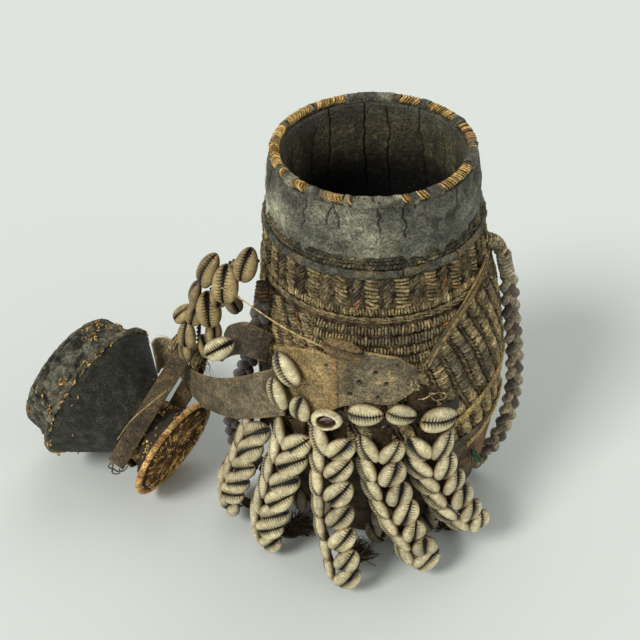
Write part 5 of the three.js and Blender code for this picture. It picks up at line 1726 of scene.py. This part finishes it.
def make_lid_body():
    outer = [(6, LID_HEIGHTS[0]), *zip(LID_RADII, LID_HEIGHTS)]
    inner = [(44.5, 77.7), (47.5, 52.5), (37.2, 36), (20.5, 14), (3, 8)]

    def resampled(profile, step):
        line = np.array([(r, 0.0, z) for r, z in profile])
        share = np.linspace(0, 1, int(lengths(line)[-1] / step))
        return at_share(line, share)[:, [0, 2]]

    columns = 360
    out_path, in_path = resampled(outer, 1.0), resampled(inner, 3.0)
    rings = lid_rings([*out_path, *in_path], columns)
    split = len(out_path)
    heights = rings[..., 2]
    outward = unit(rings * [1, 1, 0])
    plug = smooth(heights, 50, 54)
    waist = 1 - smooth(heights, 0, 12)
    turn = np.degrees(np.arctan2(rings[..., 1], rings[..., 0]))
    dents = np.sin(np.radians(turn * 34) + heights * 0.5)
    dents = dents * smooth(heights, 54, 58) * (1 - smooth(heights, 64, 70))
    crust = 1.4 * rough_noise(rings, 5, 602) + 0.6 * noise(rings, 2.2, 603)
    relief = 0.7 * rough_noise(rings, 15, 601) + 0.2 * rough_noise(rings, 4, 607)
    relief = relief + crust * np.maximum(0.75 * plug, waist) + 0.45 * dents
    relief = relief + 0.3 * np.sin(heights * TURN / 4.6) * waist
    edge_calm = np.ones(len(rings))
    edge_calm[:3] = 0
    edge_calm[split - 3: split + 2] = 0.2
    relief = (relief - 0.6) * edge_calm[:, None]
    relief[split:] *= -0.4
    rings = rings + outward * relief[..., None]
    hollow = smooth(-crust, 0.1, 0.9) * np.maximum(plug, waist)
    tint = blend_colour(CLAY * 0.3, CLAY * 0.85, smooth(rough_noise(rings, 5, 604), -0.6, 0.7))
    tint = blend_colour(tint, CLAY_LIGHT * 0.7, 0.85 * plug * smooth(crust, -0.5, 1.3))
    tint = blend_colour(tint, CLAY_DARK * 0.7, 0.5 * smooth(heights, 0, 30) * (1 - smooth(heights, 44, 52)))
    tint = blend_colour(tint, DARK_BROWN * 0.8, 0.8 * waist)
    # Painted shade in the hollows of the crust
    tint = blend_colour(tint, PAINTED_SHADE, 0.8 * hollow)
    # The lid's inside is painted with shade
    tint[split:] = blend_colour(tint[split:], PAINTED_SHADE, 0.75)
    tint = tint * (1 - 0.3 * plug[..., None])
    skin = Skin()
    skin.rings(on_lid(rings), tint)
    piece("lid_body_coated", skin, CLAY_MATERIAL, "lid", ["lid_body"])


def lid_ring_line(radius, height, count=300):
    turn = turns(count)
    return on_lid(np.stack([radius * np.cos(turn), radius * np.sin(turn), np.full(count, height)], axis=-1))


def from_lid_axis(points):
    local = points - LID_CENTRE
    return local - (local @ LID_AXIS)[..., None] * LID_AXIS


def grains(skin, places, along, normals, size, tints, seed=0):
    """Short rounded bars at free places. size is (length, width, thickness)."""
    draw = np.random.default_rng(seed)
    count = len(places)
    reach, across, rise = bar_grid(*(value * draw.uniform(0.7, 1.25, count) for value in size))
    up = unit(normals)
    along = unit(along - up * (along * up).sum(-1, keepdims=True))
    side = np.cross(up, along)
    rings = places[:, None, None] + sum(
        value[..., None] * way[:, None, None] for value, way in ((reach, along), (across, side), (rise, up))
    )
    rings = rings + 0.3 * noise(rings, 1.6, seed + 3)[..., None] * up[:, None, None]
    skin.copies(rings, np.broadcast_to(tints, (count, 3)) * draw.uniform(0.55, 1.25, (count, 1)))


# Golden crumbs of bare stitching: lowest and highest place on the lid, how many, how sparse and how far out
LID_CRUMBS = [
    (49.5, 56, 1500, 0.12, 1.6), (56, 80, 900, 0.42, 0.6), (-19, 9, 1100, 0.02, -0.7), (10, 44, 60, 0.3, 0.1),
]


def make_lid_crumbs():
    skin = Skin()
    draw = np.random.default_rng(615)
    for low, high, count, sparse, out in LID_CRUMBS:
        turn = draw.uniform(0, TURN, count)
        height = draw.uniform(low, high, count)
        radius = np.interp(height, LID_HEIGHTS, LID_RADII) + out + draw.uniform(-0.4, 0.4, count)
        radius = radius + 2.6 * np.exp(-(((height - SHOULDER) / 2.2) ** 2))
        outward = lid_outward(turn)
        place = outward * radius[:, None] + [0, 0, 1] * height[:, None]
        keep = noise(place, 10, 616) + 0.6 * noise(place, 4, 617) > sparse
        along = np.stack([-np.sin(turn), np.cos(turn), draw.uniform(-1.2, 1.2, count)], axis=-1)
        tint = blend_colour(GOLD_DARK, GOLD * 1.1, draw.uniform(0, 1, count))
        grains(skin, on_lid(place[keep]), along[keep] @ LID_FRAME, outward[keep] @ LID_FRAME, (2.4, 1.2, 1.5),
               tint[keep], 618)
    piece("lid_golden_crumbs", skin, GOLD_MATERIAL, "lid")


def clotted_ring(name, radius, height, seed):
    """A worn ring of stitching, caked with lumpy clay, painted with shade between the lumps."""
    columns, sides = 440, 14
    turn = turns(columns)[:, None, None]
    section = turns(sides)[None, :, None]
    outward = np.concatenate([np.cos(turn), np.sin(turn), 0 * turn], axis=-1)
    way = np.cos(section) * outward + np.sin(section) * [0, 0, 1]
    middle = outward * radius + [0, 0, height]
    lumps = rough_noise(middle + 2 * way, 6, seed) + 0.5 * noise(middle + 2 * way, 2.2, seed + 1)
    ring = middle + way * (2.2 + 0.6 * lumps)[..., None]
    # Painted shade in the low parts between lumps, pale clay on their tops
    tint = blend_colour(PAINTED_SHADE, CLAY_LIGHT * 0.6, smooth(lumps, -0.9, 1.1))
    skin = Skin()
    skin.rings(on_lid(ring), tint, closed=True)
    piece(f"{name}_clotted", skin, CLAY_MATERIAL, "lid", [name])


def make_lid_bindings():
    def foot_tint(points):
        return blend_colour(FOOT_GOLD_DARK, FOOT_GOLD, smooth(noise(points, 6, 614), -0.6, 0.5)) * 1.1

    clotted_ring("lid_shoulder_binding", 56.6, SHOULDER, 611)
    clotted_ring("lid_plug_binding", 47.1, 79.7, 613)
    make_lid_crumbs()
    skin = Skin()
    line = lid_ring_line(FOOT_RIM_RADIUS, -FOOT_RIM_DEPTH)
    wound(skin, line, 1.95, 1.95, 1.5, 0.72, foot_tint, from_lid_axis, 0.3, seed=622)
    core = lid_ring_line(FOOT_RIM_RADIUS, -FOOT_RIM_DEPTH, 200)
    skin.tube(core, 1.7, DARK_BROWN * 0.8, 8, True)
    piece("lid_foot_stitches", skin, GOLD_MATERIAL, "lid", ["lid_foot_binding"])


def make_lid_disc():
    """Coiled foot of the lid: rings of coil under rows of radial stitches."""
    radii = np.arange(2.0, 37.6, 0.7)
    columns = 300
    turn = turns(columns)
    coil = 0.5 + 0.5 * np.cos((radii - 3.2) * TURN / 4.3)
    top = np.stack([
        radii[:, None] * np.cos(turn)[None], radii[:, None] * np.sin(turn)[None],
        np.broadcast_to(-25.0 - 0.6 * coil[:, None], (len(radii), columns)),
    ], axis=-1)
    tint = blend_colour(DARK_BROWN * 0.4, DARK_BROWN * 0.9, smooth(rough_noise(top, 5, 631), -0.5, 0.6))
    back = lid_rings([(37.6, -25.0), (37.6, -21.6), (2.0, -21.6)], columns)
    skin = Skin()
    skin.rings(
        on_lid(np.concatenate([top, back])),
        np.concatenate([tint, np.broadcast_to(DARK_BROWN, back.shape)]),
    )
    draw = np.random.default_rng(633)
    for k, radius in enumerate(np.arange(3.2, 37.0, 4.3)):
        count = int(TURN * radius / 2.1)
        turn = (np.arange(count) + draw.uniform(-0.15, 0.15, count)) * TURN / count
        outward = lid_outward(turn)
        place = outward * radius - [0, 0, 25.7]
        along = outward + 0.35 * np.stack([-np.sin(turn), np.cos(turn), 0 * turn], axis=-1)
        worn = smooth(noise(place, 7, 634) + draw.uniform(-0.6, 0.6, count), -0.3, 0.7)
        tone = blend_colour(DISC_BROWN, DISC_GOLD, worn) * 1.15
        down = np.broadcast_to([0.0, 0.0, -1.0], place.shape)
        grains(skin, on_lid(place), along @ LID_FRAME, down @ LID_FRAME, (4.8, 1.5, 1.5), tone, 640 + k)
    piece("lid_disc_coiled", skin, FIBRE_MATERIAL, "lid", ["lid_foot_disc"])


def circle_points(x, y, radius, angles):
    return [(x + radius * np.cos(np.radians(a)), y + radius * np.sin(np.radians(a))) for a in angles]


LID_STRAP_PLANE = [
    (-27, 28.3), (0, 27.9), (25, 27.3), (50, 25.8), *circle_points(75, 17, 6.8, (100, 55, 10, -35, -80)),
    (64, -15), (42, -26), *circle_points(0, 0, 27.573, (-80, -105, -130, -155, -180)), (-28, 13),
]
STRAP_HOLES = [0.03, 0.075, 0.115, 0.16, 0.2]
STRAP_WIDTH = 14
STRAP_BROWN = srgb(100, 84, 58)
STRAP_WORN = srgb(170, 132, 82)
STRAP_EDGE = srgb(150, 122, 84)
STRAP_HOOKS = [
    [(-28.4, 27.8, 4), (-34, 25, 5), (-34.5, 21, 1.5), (-36, 17, 0), (-34, 13.5, -3), (-29.6, 13.2, -4)],
    [(-29, 27.0, -4), (-33, 24, -4.5), (-36.5, 22.5, -1), (-38, 19, 2.5), (-36.5, 16, 5), (-33, 16.5, 6.5)],
]


def make_lid_strap():
    count, rows = 320, 24
    line = evenly(on_lid([(x, -y, 0) for x, y in LID_STRAP_PLANE]), count)
    share = np.linspace(0, 1, count)
    along = unit(np.gradient(line, axis=0))
    normal = unit(np.cross(along, LID_AXIS[None]))
    v = np.linspace(-0.5, 0.5, rows)
    nibble = 1 + 0.035 * noise(line, 6, 641)
    face = line[:, None] + LID_AXIS * (STRAP_WIDTH * nibble[:, None] * v[None])[..., None]
    holes = np.zeros(face.shape[:2])
    total = lengths(line)[-1]
    for k, place in enumerate(STRAP_HOLES):
        off_middle = STRAP_WIDTH * v[None] - (1.5 if k % 2 else -1.0)
        far = np.hypot((share[:, None] - place) * total, off_middle)
        holes = np.maximum(holes, np.exp(-((far / 1.1) ** 4)))
    relief = 0.35 * rough_noise(face, 7, 642) + 0.3 * rough_noise(face, 2.5, 645)
    tint = leather_tint(face, 643, STRAP_BROWN, STRAP_WORN)
    rim = smooth(np.abs(2 * v)[None] + 0 * relief, 0.86, 1)
    tint = blend_colour(tint, STRAP_EDGE, 0.5 * rim)
    # Painted shade in the holes
    tint = blend_colour(tint, PAINTED_SHADE, holes)
    outer = face - normal[:, None] * (1.0 + relief - 1.2 * holes)[..., None]
    inner = face + normal[:, None] * 1.0
    skin = Skin()
    skin.slab(outer, inner, tint)
    piece("lid_strap_leather", skin, LEATHER_MATERIAL, "lid_strap", ["lid_strap"])

    skin = Skin()
    for hook in STRAP_HOOKS:
        skin.tube(evenly(on_lid([(x, -y, z) for x, y, z in hook]), 40), 0.6, WIRE, 8)
    piece("strap_wire_hooks", skin, WIRE_MATERIAL, "lid_strap", ["strap_wire"])


KNOT = (75, -17, 0)
KNOT_HALF = 7.8
KNOT_END = KNOT_HALF + 6
# Windings of the knot: from, to and radius
KNOT_PARTS = [(-KNOT_END, -KNOT_HALF, 6.6), (-KNOT_HALF, KNOT_HALF, 3.9), (KNOT_HALF, KNOT_END, 6.6)]


def make_knot():
    skin = Skin()
    draw = np.random.default_rng(651)
    for start, stop, radius in KNOT_PARTS:
        count = 260
        height = np.linspace(start, stop, count)
        turn = TURN * height / 1.9
        swell = radius + 0.8 * np.sin(np.linspace(0, np.pi, count)) * (radius > 5)
        local = np.stack([swell * np.cos(turn), swell * np.sin(turn), height], axis=-1)
        local = local + 0.5 * noise(local, 4, 652)[:, None]
        path = on_lid(local + KNOT)
        skin.tube(path, 0.95, blend_colour(DARK_BROWN, TAN, smooth(noise(path, 4, 653), -0.4, 0.7)), 6)
    core = on_lid([(KNOT[0], KNOT[1], z) for z in np.linspace(-KNOT_END, KNOT_END, 12)])
    skin.tube(core, 3.8, DARK_BROWN * 0.8, 10)
    for end in (-1, 1):
        skin.tube(core[:4] if end < 0 else core[-4:], 6.2, DARK_BROWN, 12)
    centre = on_lid(KNOT)
    for _ in range(60):
        end = draw.choice([-1, 1])
        start = centre + LID_AXIS * end * draw.uniform(8, 13) + draw.uniform(-3, 3, 3)
        heading = unit(LID_AXIS * end * draw.uniform(-0.2, 1) + draw.uniform(-1, 1, 3))
        tint = blend_colour(BROWN, STRAW, draw.uniform(0, 0.7))
        fibre(skin, start, heading, draw.uniform(6, 15), draw.uniform(0.2, 0.4), tint, draw, 0.5)
    piece("knot_twine", skin, FIBRE_MATERIAL, "tether", ["twine_knot"])


LONG_STRAW = [
    (-106, -30, 214), (-97, -38, 214), (-84, -50, 212), (-66, -66, 209), (-48, -77, 205), (-33, -85, 203),
]


def make_small_things():
    """Straws, thread ends and other loose bits, each riding on what it is caught in."""
    draw = np.random.default_rng(661)
    skin = Skin()
    skin.tube(evenly(LONG_STRAW, 60), np.linspace(0.45, 0.65, 60), STRAW, 6)
    piece("long_straw", skin, GOLD_MATERIAL, "jug")

    skin = Skin()
    threads = [
        [(8.5, 180.5), (9.5, 177.5), (8.8, 174), (11, 171), (13, 169.5)],
        [(10.5, 181), (11.2, 176.5), (12.4, 173.5), (11.6, 170)],
        [(19.5, 161.5), (17, 162.5), (14.5, 161), (12.5, 160.2)],
        [(19.5, 161.5), (22, 162.2), (24, 160.8), (24.6, 158.4), (23.6, 156), (21.5, 155.2)],
        [(17.5, 163), (18.6, 159), (20.6, 156.5), (21.4, 153.5), (21.8, 150.5)],
    ]
    for k, route in enumerate(threads):
        azimuth, height = route_on_body(route, 30)
        out = 3.6 + 2.6 * np.sin(np.linspace(0.2, 2.9, 30)) + (2.2 if k < 2 else 0)
        skin.tube(on_body(azimuth, height, out), 0.4, TAN * 0.8, 5)
    for _ in range(26):
        start = on_body(draw.uniform(11.5, 14.5), draw.uniform(173, 186), BAND_FACE - 1)
        heading = tangential(20.0) + draw.uniform(-0.5, 0.5, 3)
        fibre(skin, start, unit(heading), draw.uniform(2, 6), 0.2, TAN * draw.uniform(0.8, 1.3), draw)
    for azimuth, height, out in ((-42, 172, 8), (-36, 160, 9)):
        for _ in range(9):
            start = on_body(azimuth + draw.uniform(-1, 1), height + draw.uniform(-1, 1) + 8, out)
            heading = unit(draw.uniform(-1, 1, 3) + [0, 0, 0.4])
            fibre(skin, start, heading, draw.uniform(4, 9), 0.22, TAN * draw.uniform(0.7, 1.2), draw)
    piece("loose_threads", skin, FIBRE_MATERIAL, "jug")

    skin = Skin()
    for start, count in (((62.5, -58.5, 80), 9), ((8, -92, 20), 6), ((26, -84, 14), 5)):
        for _ in range(count):
            heading = unit(draw.uniform(-1, 1, 3) + [0.2, -0.6, -0.2])
            place = start + draw.uniform(-2, 2, 3)
            fibre(skin, place, heading, draw.uniform(7, 13), 0.45, GREEN, draw)
    piece("green_threads", skin, FIBRE_MATERIAL, "jug")

    skin = Skin()
    top = on_lid((44, -29.5, -5))
    steps = [((-6, -4, -3), 2), ((-24, -14, -14), 4), ((-36, -22, -26), 3)]
    straw = [top, *(top + step - TO_BACK * forward for step, forward in steps)]
    skin.tube(evenly(straw, 40), np.linspace(0.5, 0.35, 40), STRAW * 0.9, 6)
    piece("lid_straw", skin, GOLD_MATERIAL, "lid_strap")


# Stage: a pale floor under even light, with a soft key from the left and in front
SUNS = [
    ("key", (-0.9, -0.75, 1.25), 1.7, 20, (1.0, 0.985, 0.95)),
    ("back", (0.35, 0.9, 1.3), 0.5, 45, (0.99, 1.0, 0.98)),
    ("fill", (1.2, -0.6, 0.8), 0.3, 50, (1.0, 0.99, 0.97)),
]
SKY_STRENGTH = 0.39
FLOOR_HALF = 30


def make_stage():
    mesh = bpy.data.meshes.new("floor")
    corners = [(-1, -1), (1, -1), (1, 1), (-1, 1)]
    mesh.from_pydata([(x * FLOOR_HALF, y * FLOOR_HALF, 0) for x, y in corners], [], [(0, 1, 2, 3)])
    paint = bpy.data.materials.new("floor_paint")
    paint.use_nodes = True
    shader = paint.node_tree.nodes["Principled BSDF"]
    shader.inputs["Base Color"].default_value = (0.775, 0.82, 0.79, 1)
    shader.inputs["Roughness"].default_value = 0.9
    shader.inputs["Specular IOR Level"].default_value = 0.1
    mesh.materials.append(paint)
    floor = bpy.data.objects.new("floor", mesh)
    bpy.context.scene.collection.objects.link(floor)

    world = bpy.data.worlds.new("studio")
    world.use_nodes = True
    world.node_tree.nodes["Background"].inputs["Color"].default_value = (0.985, 1.0, 0.975, 1)
    world.node_tree.nodes["Background"].inputs["Strength"].default_value = SKY_STRENGTH
    bpy.context.scene.world = world
    for name, place, power, width, colour in SUNS:
        data = bpy.data.lights.new(name, "SUN")
        data.energy = power
        data.angle = np.radians(width)
        data.color = colour
        light = bpy.data.objects.new(name, data)
        light.rotation_euler = Vector(place).to_track_quat("Z", "Y").to_euler()
        bpy.context.scene.collection.objects.link(light)
    bpy.context.scene.view_settings.view_transform = "Standard"


make_camera()
make_tether_cord()
make_rope("right_rope", RIGHT_ROPE, 20, [WOOL * 1.15, WOOL, WOOL_DARK * 2.0], 701)
# The left rope is painted much darker than the right one, as shade
make_rope("left_rope", LEFT_ROPE, 0, [WOOL_DARK, WOOL_DARK * 0.8, WOOL_DARK * 1.3], 711)
make_lashings()
make_vessel()
make_base_jacket()
make_stitches()
make_coils()
make_shoulder_ring()
make_ridge()
make_rim()
make_boot()
make_band()
make_belt_and_patch()
make_laces()
for number, strand in enumerate(STRANDS, 1):
    make_strand(number, strand)
make_sewn_cowries()
make_glimpsed_shells()
make_ring_cowrie()
make_tether_strap()
make_flap()
make_tab()
make_lid_body()
make_lid_bindings()
make_lid_disc()
make_lid_strap()
make_knot()
make_small_things()
make_stage()
